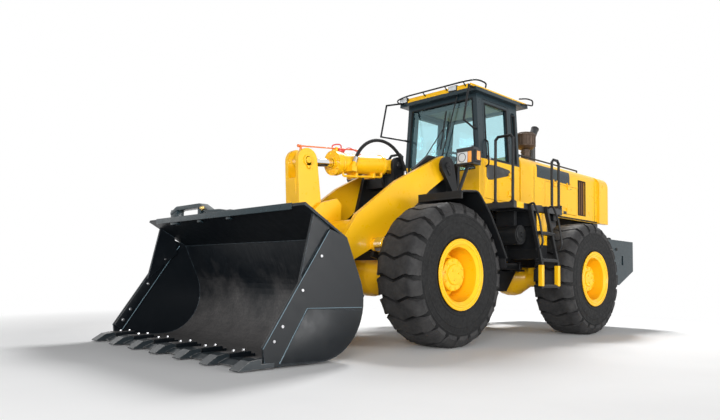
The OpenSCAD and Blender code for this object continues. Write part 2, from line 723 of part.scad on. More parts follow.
// Front frame: plates, tower, brackets for boom, cylinders and hinge
module front_frame() color(black) ahead() {
    both_sides() {
        slab(frame_in, frame_out) polygon([
            [pivot_x + 245, frame_low], [-430, frame_low], [-330, axle_top], [330, axle_top], [450, axle_top + 40],
            [420, 1080], [0, 1290], [-120, 1640], [-250, 2120], [-520, boom_z + 140], [-820, boom_z + 140],
            [-925, boom_z + 20], [-925, 1750], [-1000, frame_top], [pivot_x + 245, frame_top]]);
        // Outer boom bracket and its rear web
        slab(arm_out + 40, arm_out + 90) bar_outline([-905, 1760], 20, [boom_x, boom_z], 125);
        box([-925, frame_out, 1720], [-885, arm_out + 90, boom_z + 60]);
        // Boom pivot pin
        bar_y(boom_x, boom_z, boom_pin_r, frame_out, arm_out + 40);
        bar_y(boom_x, boom_z, boom_pin_r + 26, frame_out, arm_in - 3);
        // Lift cylinder bracket
        box([-970, frame_out, lift_base_z - 120], [-910, lift_y + 80, lift_base_z + 120]);
        for (y = [lift_y - 80, lift_y + 46]) slab(y, y + 34)
            bar_outline([-912, lift_base_z], 100, [lift_base_x, lift_base_z], 70);
        bar_y(lift_base_x, lift_base_z, 38, lift_y - 60, lift_y + 60);
        // Steering cylinder brackets
        for (z = [steer_z - 75, steer_z + 45]) translate([0, 0, z]) linear_extrude(30)
            polygon([[pivot_x + 260, frame_in - 60], [pivot_x + 260, frame_out], [steer_front_x - 45, frame_out + 10],
                [steer_front_x - 45, frame_in - 30]]);
    }
    // Hinge plates
    difference() {
        for (z = [lower_lug_z, upper_lug_z]) hinge_plate(pivot_x + 245, frame_in, z, 125);
        pivot_holes(pivot_pin_r + run);
    }
    // Cross members
    box([pivot_x + 245, -frame_in, frame_low], [pivot_x + 275, frame_in, lower_lug_z + lug_t]);
    box([pivot_x + 245, -frame_in, upper_lug_z], [pivot_x + 275, frame_in, frame_top]);
    box([-480, -frame_in, frame_low], [-440, frame_in, frame_low + 120]);
    box([330, -frame_in, axle_top], [370, frame_in, 1060]);
    box([-900, -frame_in, 1500], [-860, frame_in, 1900]);
    // Saddle and clevis of the tilt cylinder
    box([-470, -frame_in, 1940], [-290, frame_in, 2070]);
    both_sides() slab(crank_in + 5, crank_in + 45)
        bar_outline([tilt_base_x - 30, 2040], 120, [tilt_base_x, tilt_base_z], 105);
    bar_y(tilt_base_x, tilt_base_z, 42, -crank_in - 20, crank_in + 20);
}

// Front fenders: folded band over the tyre, inner skirt, brackets and lamp posts
fender_in = 785;
fender_out = 1420;
fender_t = 16;
fender_line = [[30, 1730], [-270, 1760], [-500, 1540], [-706, 1250], [-850, 1020]];

function towards_hub(p, t) = [0, tyre_r] + (p - [0, tyre_r]) * (1 - t / norm(p - [0, tyre_r]));

module front_fenders() color(black) ahead() both_sides() {
    slab(fender_in, fender_out) polygon(concat(fender_line,
        [for (i = [len(fender_line) - 1 : -1 : 0]) towards_hub(fender_line[i], fender_t)]));
    slab(fender_in, fender_in + 14) polygon(concat(fender_line, [[-640, 1000], [-300, 1060], [20, 1040]]));
    box([16, fender_in, 1645], [32, fender_out, 1732]);
    box([-70, frame_out, 1040], [20, fender_in, 1100]);
    box([-720, frame_out, 1090], [-640, fender_in, 1150]);
    // Lamp posts
    rod([-370, lamp_y, 1645], [lamp_x + 90, lamp_y, lamp_z - 10], 22);
    box([lamp_x + 30, lamp_y - 50, lamp_z - 14], [lamp_x + 120, lamp_y + 50, lamp_z]);
}

lamp_x = -720;
lamp_y = 1000;
lamp_z = 2150;

module headlamps() color(black) ahead() both_sides() {
    slab(lamp_y - 130, lamp_y + 130) difference() {
        translate([lamp_x, lamp_z]) square([150, 210]);
        translate([lamp_x, lamp_z + 210]) rotate(45) square(80, center = true);
    }
    // Side indicator
    box([lamp_x + 30, lamp_y + 130, lamp_z + 30], [lamp_x + 140, lamp_y + 155, lamp_z + 180]);
}

hose_r = 20;
hose_x = 20;
hose_z = 2000;
hose_bend = 470;

// Hydraulic hose arched from the tower to the tilt cylinder's gland end
module tilt_hose() color(black) ahead() translate([hose_x, crank_in + 78, hose_z]) rotate([90, -20, 0])
    rotate_extrude(angle = 142) translate([hose_bend, 0]) circle(hose_r, $fn = 32);

// Boom: two arms, cross tube and bellcrank bracket
bracket_in = crank_in + crank_t + 20;
bracket_t = 40;

module arm_outline() {
    polygon([[boom_x - 60, boom_z - 125], [-440, 1860], [100, 1420], [350, 1190], [816, 953],
        [hinge_x - 63, hinge_z - 67],
        [hinge_x + 110, hinge_z + 50], [1180, 900], [790, 1460], [160, 1910], [boom_x + 70, boom_z + 120]]);
    translate([boom_x, boom_z]) circle(139);
    translate([hinge_x, hinge_z]) circle(120);
}

module boom() color(yellow) ahead() {
    both_sides() {
        slab(arm_in, arm_out) difference() {
            arm_outline();
            translate([boom_x, boom_z]) circle(boom_pin_r + run);
            translate([hinge_x, hinge_z]) circle(hinge_pin_r + run);
        }
        bar_y(lift_pin_x, lift_pin_z, 75, arm_out, lift_y - 55 - float_gap);
        slab(bracket_in, bracket_in + bracket_t) difference() {
            polygon([[700, 1300], [690, 1600], [760, 1660], [1000, 1590], [crank_x + 130, crank_z + 120],
                [crank_x + 130, crank_z - 60], [crank_x + 40, crank_z - 125], [860, 1180]]);
            translate([crank_x, crank_z]) circle(crank_pin_r + run);
        }
    }
    bar_y(775, 1270, cross_r, -arm_in, arm_in);
}

module bucket_pins() color(steel) ahead() both_sides()
    bar_y(hinge_x, hinge_z, hinge_pin_r, arm_in - 75, arm_out + 75);

// Bucket
bend_a = 155;
curl_c = [curl_x + curl_r, floor_z + curl_r];
guard_top = [2240, 1375];

function curl_point(a, r) = curl_c + r * [cos(a), sin(a)];
function back_point(run_up, in) = curl_point(bend_a, curl_r - in) + run_up * [sin(bend_a), -cos(bend_a)];

back_len = 405;
edge_x = tooth_reach - 330;

module bucket_outline(in) {
    bend = back_point(back_len + in * 0.35, in);
    arc = [for (i = [0 : 16]) curl_point(270 - (270 - bend_a) * i / 16, curl_r - in)];
    polygon(concat([[edge_x, floor_z + in]], arc, [bend], [guard_top + in * [0.15, -1]],
        [[guard_top.x + 600, guard_top.y - in], [guard_top.x + 600, floor_z + in]]));
}

module bucket_side() {
    arc = [for (i = [0 : 16]) curl_point(270 - (270 - bend_a) * i / 16, curl_r)];
    polygon(concat([[edge_x, floor_z], [edge_x, floor_z + 32], [edge_x + 95, floor_z + 32],
        [edge_x + 110, floor_z + 156], [1960, 1165], back_point(back_len, 0)],
        [for (i = [16 : -1 : 0]) arc[i]]));
}

module bucket_shell() color(black) ahead() {
    difference() {
        union() {
            // Wrapper
            slab(-half_bucket, half_bucket) difference() {
                intersection() {
                    bucket_outline(0);
                    polygon([[0, 0], [edge_x, 0], [edge_x, 600], guard_top + [1, 0], guard_top + [1, 200], [0, 1600]]);
                }
                bucket_outline(bucket_t);
            }
            both_sides() {
                slab(half_bucket - bucket_t, half_bucket) bucket_side();
                // Wing plate between the side plate and the spill guard
                slab(half_bucket - 2 * bucket_t, half_bucket - bucket_t)
                    polygon([[2260, 690], [2130, 1285], [1960, 1240], [1900, 1000]]);
                // Hinge ears
                for (y = [arm_in - 70, arm_out + 10]) slab(y, y + 60)
                    ear_outline([hinge_x, hinge_z], 105, 300, 620);
                slab(crank_in, crank_in + 40) ear_outline([ear_x, ear_z], 85, 560, 960);
            }
        }
        both_sides() {
            bar_y(hinge_x, hinge_z, hinge_pin_r + run, arm_in - 90, arm_out + 90);
            bar_y(ear_x, ear_z, link_pin_r + run, crank_in - 20, crank_in + 60);
            // Cut corners of the spill guard
            translate([1900, half_bucket, 1270]) rotate([-30, 0, 0]) cube([600, 400, 400]);
        }
    }
}

// Ear plate from a pin to the curl of the bucket
module ear_outline(pin, r, z0, z1) difference() {
    union() {
        translate(pin) circle(r);
        polygon([pin + [0, -r], [curl_x + 120, z0 - 60], [curl_x + 120, z1], pin + [-0.3 * r, 0.95 * r]]);
    }
    bucket_outline(bucket_t / 2);
}

module cutting_edge() color(steel) ahead() {
    slab(-half_bucket, half_bucket) polygon([[edge_x, floor_z - 8], [edge_x + 200, floor_z - 8],
        [edge_x + 230, floor_z - 2], [edge_x + 150, floor_z + 32], [edge_x, floor_z + 32]]);
    tooth_step = (bucket_w - 130) / (tooth_count - 1);
    for (i = [0 : tooth_count - 1]) slab(-half_bucket + i * tooth_step, -half_bucket + 130 + i * tooth_step)
        polygon([[edge_x + 120, floor_z + 20], [edge_x + 200, floor_z - 5], [edge_x + 226, floor_z - 14],
            [tooth_reach, floor_z - 14], [tooth_reach, floor_z - 4], [edge_x + 230, floor_z + 60],
            [edge_x + 150, floor_z + 72], [edge_x + 120, floor_z + 60]]);
}

// Linkage
module bellcrank_pin() color(steel) ahead() bar_y(crank_x, crank_z, crank_pin_r, -bracket_in - bracket_t, bracket_in + bracket_t);

module bellcrank() color(yellow) ahead() difference() {
    union() {
        both_sides() slab(crank_in, crank_in + crank_t) {
            bar_outline([top_x, top_z], 138, [crank_x + 35, crank_z + 130], 165);
            bar_outline([crank_x, crank_z], 140, [low_x, low_z], 95);
            translate([crank_x, crank_z]) circle(140);
        }
        bar_y(crank_x, crank_z, 105, -bracket_in + 6, bracket_in - 6);
        slab(-crank_in, crank_in) bar_outline([crank_x + 20, crank_z + 150], 40, [top_x - 40, top_z - 330], 30);
        // Front web between the plates
        slab(-crank_in, crank_in) bar_outline([top_x + 112, top_z - 225], 22, [crank_x + 172, crank_z + 175], 22);
        both_sides() bar_y(top_x, top_z, 62, crank_in + crank_t, crank_in + crank_t + 16);
        both_sides() bar_y(low_x, low_z, 62, crank_in + crank_t, crank_in + crank_t + 16);
    }
    bar_y(crank_x, crank_z, crank_pin_r + run, -big / 2, big / 2);
}

module link_pin() color(steel) ahead() bar_y(ear_x, ear_z, link_pin_r, -crank_in - 40, crank_in + 40);

module tilt_link() color(yellow) ahead() slab(-crank_in + float_gap, crank_in - float_gap) difference() {
    union() {
        bar_outline([low_x, low_z], 55, [ear_x, ear_z], 55);
        translate([low_x, low_z]) circle(84);
        translate([ear_x, ear_z]) circle(80);
    }
    translate([ear_x, ear_z]) circle(link_pin_r + run);
}

tilt_len = norm([top_x - tilt_base_x, top_z - tilt_base_z]);
lift_len = norm([lift_pin_x - lift_base_x, lift_pin_z - lift_base_z]);

// Barrel along +X from its base pin: eye, flat neck, tube, gland at its end and a blind bore for the rod
module barrel(len, r, rod_r, eye_r, eye_half, pin_r, start, collar = 10) difference() {
    union() {
        eye(eye_r, eye_half);
        translate([0, -eye_half, -0.7 * eye_r]) cube([start + 10, 2 * eye_half, 1.4 * eye_r]);
        translate([start, 0, 0]) rotate([0, 90, 0]) cylinder(r = r, h = len - start);
        translate([len - 70, 0, 0]) rotate([0, 90, 0]) cylinder(r = r + collar, h = 70);
    }
    eye(pin_r + run, eye_half + 1);
    translate([start + 40, 0, 0]) rotate([0, 90, 0]) cylinder(r = rod_r + run, h = len);
}

// Rod along +X, from inside its barrel to its eye
module cylinder_rod(start, len, rod_r, eye_r, eye_half) {
    translate([start, 0, 0]) rotate([0, 90, 0]) cylinder(r = rod_r, h = len - start - eye_r * 0.6);
    translate([len, 0, 0]) eye(eye_r, eye_half);
}

module tilt_barrel() color(yellow) ahead() {
    along(tilt_base_x, tilt_base_z, top_x, top_z)
        barrel(tilt_barrel_len, tilt_barrel_r, tilt_rod_r, 92, crank_in - 4, 42, 210, 26);
    // Port block of the hose
    box([450, 40, 2020], [530, crank_in + 104, 2085]);
    translate([hose_x, crank_in + 78, hose_z]) rotate([0, -20, 0])
        rod([hose_bend, 0, -92], [hose_bend, 0, -glass_gap], 26);
}

module tilt_rod() color(steel) ahead() along(tilt_base_x, tilt_base_z, top_x, top_z)
    cylinder_rod(420, tilt_len, tilt_rod_r, 80, crank_in - float_gap);

module lift_barrels() color(yellow) ahead() both_sides() translate([0, lift_y, 0])
    along(lift_base_x, lift_base_z, lift_pin_x, lift_pin_z)
    barrel(lift_barrel_len, lift_barrel_r, lift_rod_r, 66, 44, 38, 95);

module lift_rods() color(steel) ahead() both_sides() translate([0, lift_y, 0])
    along(lift_base_x, lift_base_z, lift_pin_x, lift_pin_z)
    cylinder_rod(150, lift_len, lift_rod_r, 85, 55);

// Steering cylinders lie level, with upright pins
module steer_place(side) translate([steer_rear_x, side * steer_rear_y, steer_z])
    rotate([0, 0, side * steer_turn]) rotate([90, 0, 0]) children();

steer_turn = atan2(steer_front_y - steer_rear_y, steer_front_x - steer_rear_x);
steer_len = norm([steer_front_x - steer_rear_x, steer_front_y - steer_rear_y]);

module steer_barrel(side) color(black) ahead() {
    steer_place(side) barrel(700, steer_barrel_r, steer_rod_r, 45, 34, 25, 80);
    bar_z(steer_rear_x, side * steer_rear_y, 25, steer_z - 70, steer_z + 70);
}

module steer_rod(side) color(steel) ahead() steer_place(side)
    cylinder_rod(380, steer_len, steer_rod_r, 42, 34);

module left_steer_barrel() steer_barrel(1);
module right_steer_barrel() steer_barrel(-1);
module left_steer_rod() steer_rod(1);
module right_steer_rod() steer_rod(-1);

module front_left_tyre() tyre(0, 1);
module front_right_tyre() tyre(0, -1);
module rear_left_tyre() tyre(rear_x, 1);
module rear_right_tyre() tyre(rear_x, -1);
module front_left_rim() rim(0, 1);
module front_right_rim() rim(0, -1);
module rear_left_rim() rim(rear_x, 1);
module rear_right_rim() rim(rear_x, -1);

rear_frame();
rear_axle();
counterweight();
engine_block();
transmission();
radiator();
tanks();
platforms();
ladders();
handrails();
hood_shell();
exhaust_stack();
air_precleaner();
cab_body();
cab_roof();
cab_glass();
seat();
steering_console();
left_door();
left_door_glass();
right_door();
right_door_glass();
left_hood_door();
right_hood_door();
rear_grille();
front_frame();
front_axle();
front_fenders();
headlamps();
tilt_hose();
boom();
bucket_pins();
bucket_shell();
cutting_edge();
bellcrank_pin();
bellcrank();
link_pin();
tilt_link();
tilt_barrel();
tilt_rod();
lift_barrels();
lift_rods();
left_steer_barrel();
left_steer_rod();
right_steer_barrel();
right_steer_rod();
front_left_tyre();
front_left_rim();
front_right_tyre();
front_right_rim();
rear_left_tyre();
rear_left_rim();
rear_right_tyre();
rear_right_rim();
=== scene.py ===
"""Looks of an articulated wheel loader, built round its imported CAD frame.

Places are in metres: x forward, y to the driver's left, z up, ground at z = 0.
Places along the machine are given from the front axle, and ahead() moves them into the frame.
"""

import math

import bmesh
import bpy
from mathutils import Matrix, Quaternion, Vector


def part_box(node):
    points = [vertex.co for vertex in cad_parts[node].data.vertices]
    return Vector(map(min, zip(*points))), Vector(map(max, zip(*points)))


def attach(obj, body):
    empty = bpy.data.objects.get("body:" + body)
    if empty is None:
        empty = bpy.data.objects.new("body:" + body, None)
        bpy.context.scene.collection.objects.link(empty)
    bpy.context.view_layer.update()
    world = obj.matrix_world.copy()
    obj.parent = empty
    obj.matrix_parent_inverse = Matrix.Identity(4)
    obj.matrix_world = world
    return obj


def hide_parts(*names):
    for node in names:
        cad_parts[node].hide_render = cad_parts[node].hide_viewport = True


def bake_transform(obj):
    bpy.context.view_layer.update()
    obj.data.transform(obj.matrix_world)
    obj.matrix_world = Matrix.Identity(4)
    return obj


bl_info = {
    "name": "Wheel loader looks",
    "version": (1, 0, 0),
    "blender": (4, 5, 0),
    "location": "View3D > Sidebar > Loader",
    "description": "Adds tyres, fittings, trim and finishes to the wheel loader's frame",
    "category": "Object",
}

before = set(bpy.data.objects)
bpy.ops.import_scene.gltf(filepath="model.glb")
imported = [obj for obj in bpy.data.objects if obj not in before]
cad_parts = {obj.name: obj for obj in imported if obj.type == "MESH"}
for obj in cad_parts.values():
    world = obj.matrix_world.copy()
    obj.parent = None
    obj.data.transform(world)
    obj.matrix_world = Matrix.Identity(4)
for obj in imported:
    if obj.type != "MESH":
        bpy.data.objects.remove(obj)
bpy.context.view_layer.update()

# Places read from the frame
RIM_LOW, RIM_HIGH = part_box("front_left_rim")
AXLE = (RIM_LOW + RIM_HIGH) / 2
FRONT_X = AXLE.x
WHEEL_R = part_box("front_left_tyre")[1].z / 2
TREAD_Y = (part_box("front_left_tyre")[0].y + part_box("front_left_tyre")[1].y) / 2
REAR_X = (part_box("rear_left_tyre")[0].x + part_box("rear_left_tyre")[1].x) / 2

# Places of the CAD that several pieces share
WAIST_Z, ROOF_EDGE_Z, DECK_Z = 2.40, 3.352, 1.778
CURL_X, CURL_Z = 2.040, 0.524
SEAM_X, SEAM_Z = 1.790, 1.095
HOOD_HALF, HOOD_EDGE_R, HOOD_EDGE_Z = 0.680, 0.150, 2.440
SHAFT_Z = 0.805
SIDES = (("left", 1), ("right", -1))

FINISH = {}


def ahead(x, y, z):
    """A place measured from the front axle."""
    return Vector((x + FRONT_X, y, z))


# Shader helpers


def add(tree, kind, **values):
    """Adds a node, with values for its sockets by name or number, or for its own settings."""
    made = tree.nodes.new(kind)
    for key, value in values.items():
        if key.startswith("in_"):
            made.inputs[int(key[3:])].default_value = value
        elif hasattr(made, key):
            setattr(made, key, value)
        else:
            made.inputs[key.replace("_", " ")].default_value = value
    return made


def join(tree, source, target):
    tree.links.new(source, target)


def colour(rgb):
    return (*rgb[:3], 1.0)


def math_node(tree, operation, first, second=None, clamp=False):
    made = add(tree, "ShaderNodeMath", operation=operation, use_clamp=clamp)
    for index, value in enumerate((first, second)):
        if value is None:
            continue
        if isinstance(value, (int, float)):
            made.inputs[index].default_value = value
        else:
            join(tree, value, made.inputs[index])
    return made.outputs[0]


def times(tree, first, second, clamp=False):
    return math_node(tree, "MULTIPLY", first, second, clamp)


def plus(tree, first, second, clamp=False):
    return math_node(tree, "ADD", first, second, clamp)


def object_place(tree):
    return add(tree, "ShaderNodeTexCoord").outputs["Object"]


def facing_way(tree):
    return add(tree, "ShaderNodeNewGeometry").outputs["Normal"]


def axes(tree, vector):
    """The x, y and z of a vector."""
    made = add(tree, "ShaderNodeSeparateXYZ")
    join(tree, vector, made.inputs[0])
    return made.outputs


def put(shader, **values):
    """Sets a shader's sockets by name."""
    for key, value in values.items():
        shader.inputs[key.replace("_", " ")].default_value = value


def mix_shaders(tree, factor, first, second, surface):
    """Joins two shaders, mixed by a factor, to an output."""
    blend = tree.nodes.new("ShaderNodeMixShader")
    for index, source in enumerate((factor, first.outputs[0], second.outputs[0])):
        join(tree, source, blend.inputs[index])
    join(tree, blend.outputs[0], surface)


def surface_of(tree):
    return next(node for node in tree.nodes if node.type == "OUTPUT_MATERIAL").inputs["Surface"]


def ramp(tree, value, low, high, start=0.0, end=1.0):
    made = add(tree, "ShaderNodeMapRange", clamp=True)
    join(tree, value, made.inputs[0])
    for index, number in enumerate((low, high, start, end), 1):
        made.inputs[index].default_value = number
    return made.outputs[0]


def mix(tree, factor, first, second, blend="MIX"):
    made = add(tree, "ShaderNodeMix", data_type="RGBA", blend_type=blend)
    for index, value in ((0, factor), (6, first), (7, second)):
        if isinstance(value, bpy.types.NodeSocket):
            join(tree, value, made.inputs[index])
        else:
            made.inputs[index].default_value = value
    return made.outputs[2]


def noise(tree, scale, detail=3.0, rough=0.55, vector=None):
    made = add(tree, "ShaderNodeTexNoise", Scale=scale, Detail=detail, Roughness=rough)
    if vector is None:
        vector = object_place(tree)
    join(tree, vector, made.inputs["Vector"])
    return made.outputs["Fac"]


def new_group(name, inputs, outputs):
    """A shader node group with named sockets. Returns its tree, its input node and its output node."""
    tree = bpy.data.node_groups.new(name, "ShaderNodeTree")
    for label, kind, default in inputs:
        made = tree.interface.new_socket(name=label, in_out="INPUT", socket_type=kind)
        if default is not None:
            made.default_value = default
    for label, kind in outputs:
        tree.interface.new_socket(name=label, in_out="OUTPUT", socket_type=kind)
    return tree, tree.nodes.new("NodeGroupInput"), tree.nodes.new("NodeGroupOutput")


FLOAT, RGBA, VECTOR = "NodeSocketFloat", "NodeSocketColor", "NodeSocketVector"


def make_enamel_group():
    """Sprayed enamel: faint cloudiness in its colour, uneven gloss and a fine orange peel."""
    tree, source, out = new_group(
        "enamel_skin",
        [("Color", RGBA, (0.5, 0.5, 0.5, 1)), ("Cloud", FLOAT, 0.08), ("Gloss", FLOAT, 0.35)],
        [("Color", RGBA), ("Roughness", FLOAT), ("Height", FLOAT)],
    )
    clouds = ramp(tree, noise(tree, 2.3, 4), 0.35, 0.7)
    darker = mix(tree, 1.0, source.outputs["Color"], (0.72, 0.70, 0.68, 1), "MULTIPLY")
    shade = times(tree, clouds, source.outputs["Cloud"])
    join(tree, mix(tree, shade, source.outputs["Color"], darker), out.inputs["Color"])
    smear = ramp(tree, noise(tree, 11.0, 5, 0.65), 0.3, 0.75, -0.06, 0.12)
    join(tree, plus(tree, smear, source.outputs["Gloss"], True), out.inputs["Roughness"])
    peel = noise(tree, 260.0, 2)
    join(tree, peel, out.inputs["Height"])
    return tree


def make_dust_group():
    """Dust that settles on upward faces and low down on the machine."""
    tree, source, out = new_group(
        "settled_dust",
        [("Color", RGBA, (0.5, 0.5, 0.5, 1)), ("Dust", RGBA, (0.30, 0.26, 0.21, 1)),
         ("Amount", FLOAT, 0.3), ("Reach", FLOAT, 1.2)],
        [("Color", RGBA), ("Mask", FLOAT)],
    )
    places = axes(tree, object_place(tree))
    facing = axes(tree, facing_way(tree))
    up = ramp(tree, facing[2], 0.2, 0.95, 0.25, 1.0)
    fall = math_node(tree, "DIVIDE", places[2], source.outputs["Reach"])
    low = ramp(tree, fall, 0.1, 1.0, 1.0, 0.25)
    patch = ramp(tree, noise(tree, 6.0, 6, 0.65), 0.35, 0.72)
    speck = ramp(tree, noise(tree, 55.0, 3, 0.6), 0.42, 0.62, 0.55, 1.0)
    mask = times(tree, times(tree, up, low), times(tree, patch, speck))
    mask = times(tree, mask, source.outputs["Amount"], True)
    join(tree, mask, out.inputs["Mask"])
    join(tree, mix(tree, mask, source.outputs["Color"], source.outputs["Dust"]), out.inputs["Color"])
    return tree


def make_edge_wear_highlight_group():
    """Edges where the rounded normal leaves the flat one, broken up by noise: bare worn metal on most finishes, and
    on the bucket bare steel with a painted highlight.
    """
    tree, source, out = new_group(
        "edge_wear_and_highlight",
        [("Rounded", VECTOR, None), ("Amount", FLOAT, 0.5)],
        [("Mask", FLOAT)],
    )
    flat = facing_way(tree)
    dot = add(tree, "ShaderNodeVectorMath", operation="DOT_PRODUCT")
    join(tree, flat, dot.inputs[0])
    join(tree, source.outputs["Rounded"], dot.inputs[1])
    edge = ramp(tree, dot.outputs["Value"], 0.995, 0.86)
    broken = ramp(tree, noise(tree, 18.0, 6, 0.7), 0.40, 0.62)
    mask = times(tree, times(tree, edge, broken), source.outputs["Amount"], True)
    join(tree, mask, out.inputs["Mask"])
    return tree


def make_scratch_group():
    """Long scuffs along the machine, as loose stone leaves in a bucket."""
    tree, source, out = new_group(
        "stone_scuffs", [("Amount", FLOAT, 0.6)], [("Mask", FLOAT), ("Height", FLOAT)]
    )
    place = object_place(tree)
    marks = []
    for turn, stretch in ((0.05, (3.0, 90.0, 9.0)), (-0.22, (2.2, 120.0, 7.0))):
        mapping = add(tree, "ShaderNodeMapping", Rotation=(0, 0, turn), Scale=stretch)
        join(tree, place, mapping.inputs["Vector"])
        marks.append(ramp(tree, noise(tree, 1.0, 4, 0.6, mapping.outputs[0]), 0.52, 0.66))
    lines = math_node(tree, "MAXIMUM", *marks)
    patch = ramp(tree, noise(tree, 1.9, 5, 0.6), 0.36, 0.62)
    mask = times(tree, times(tree, lines, patch), source.outputs["Amount"], True)
    join(tree, mask, out.inputs["Mask"])
    join(tree, math_node(tree, "SUBTRACT", 1.0, mask), out.inputs["Height"])
    return tree


def make_stud_group():
    """Raised lozenges of a foot plate, in two crossed rows."""
    tree, source, out = new_group("foot_plate_studs", [("Pitch", FLOAT, 0.045)], [("Height", FLOAT), ("Mask", FLOAT)])
    place = axes(tree, object_place(tree))
    rows = []
    for sign, shift in ((1, 0.0), (-1, 0.5)):
        along = plus(tree, place[0], times(tree, place[1], sign))
        across = math_node(tree, "SUBTRACT", place[1], times(tree, place[0], sign))
        cells = []
        for value, weight in ((along, 0.75), (across, 2.2)):
            step = plus(tree, math_node(tree, "DIVIDE", value, source.outputs["Pitch"]), shift)
            part = math_node(tree, "SUBTRACT", math_node(tree, "FRACT", step), 0.5)
            cells.append(math_node(tree, "POWER", times(tree, part, 2 * weight), 2.0))
        rows.append(ramp(tree, plus(tree, *cells), 0.55, 0.25))
    studs = math_node(tree, "MAXIMUM", *rows)
    join(tree, studs, out.inputs["Height"])
    join(tree, studs, out.inputs["Mask"])
    return tree


def make_rubber_group():
    """Rubber: a dull bloom, fine grain and dusty scuffs."""
    tree, source, out = new_group(
        "rubber_skin",
        [("Color", RGBA, (0.02, 0.02, 0.02, 1)), ("Bloom", RGBA, (0.07, 0.07, 0.07, 1)), ("Amount", FLOAT, 0.5)],
        [("Color", RGBA), ("Roughness", FLOAT), ("Height", FLOAT)],
    )
    bloom = times(tree, ramp(tree, noise(tree, 7.0, 6, 0.65), 0.3, 0.7), source.outputs["Amount"], True)
    join(tree, mix(tree, bloom, source.outputs["Color"], source.outputs["Bloom"]), out.inputs["Color"])
    join(tree, ramp(tree, noise(tree, 30.0, 4), 0.3, 0.7, 0.55, 0.80), out.inputs["Roughness"])
    fine = times(tree, noise(tree, 420.0, 2), 0.3)
    join(tree, plus(tree, fine, noise(tree, 60.0, 4)), out.inputs["Height"])
    return tree


def make_groups():
    for maker in (make_enamel_group, make_dust_group, make_edge_wear_highlight_group, make_scratch_group, make_stud_group,
                  make_rubber_group):
        maker()


def place_group(tree, name, **values):
    made = tree.nodes.new("ShaderNodeGroup")
    made.node_tree = bpy.data.node_groups[name]
    for key, value in values.items():
        socket = made.inputs[key]
        if isinstance(value, bpy.types.NodeSocket):
            join(tree, value, socket)
        else:
            socket.default_value = value
    return made


def new_finish(name):
    """A material with an empty tree, its Principled shader joined to its output."""
    made = bpy.data.materials.new(name)
    made.use_nodes = True
    tree = made.node_tree
    tree.nodes.clear()
    shader = tree.nodes.new("ShaderNodeBsdfPrincipled")
    join(tree, shader.outputs[0], tree.nodes.new("ShaderNodeOutputMaterial").inputs["Surface"])
    FINISH[name] = made
    return tree, shader


def height_to_normal(tree, shader, height, strength, depth, rounding=0.0):
    """Bump from a height, over edges rounded in shading."""
    bump = add(tree, "ShaderNodeBump", Strength=strength, Distance=depth)
    join(tree, height, bump.inputs["Height"])
    rounded = None
    if rounding:
        bevel = add(tree, "ShaderNodeBevel", samples=6, Radius=rounding)
        rounded = bevel.outputs[0]
        join(tree, rounded, bump.inputs["Normal"])
    join(tree, bump.outputs[0], shader.inputs["Normal"])
    return rounded


def enamel(name, rgb, gloss=0.32, cloud=0.10, dust=0.25, reach=1.6, bare=0.0, rounding=0.006, split=None,
           shine=0.5, coat=0.18):
    """Painted metal. split is a second colour for places above a height."""
    tree, shader = new_finish(name)
    base = colour(rgb)
    if split:
        height, upper = split
        place = axes(tree, object_place(tree))
        base = mix(tree, ramp(tree, place[2], height - 0.001, height + 0.001), base, colour(upper))
    skin = place_group(tree, "enamel_skin", Color=base, Cloud=cloud, Gloss=gloss)
    rounded = height_to_normal(tree, shader, skin.outputs["Height"], 0.05, 0.0006, rounding)
    painted = skin.outputs["Color"]
    if bare:
        edge_mask = place_group(tree, "edge_wear_and_highlight", Rounded=rounded, Amount=bare).outputs["Mask"]
        painted = mix(tree, edge_mask, painted, (0.30, 0.29, 0.28, 1))
    dusty = place_group(tree, "settled_dust", Color=painted, Amount=dust, Reach=reach)
    join(tree, dusty.outputs["Color"], shader.inputs["Base Color"])
    rough = plus(tree, skin.outputs["Roughness"], times(tree, dusty.outputs["Mask"], 0.35), True)
    join(tree, rough, shader.inputs["Roughness"])
    put(shader, Specular_IOR_Level=shine, Coat_Weight=coat, Coat_Roughness=0.12)


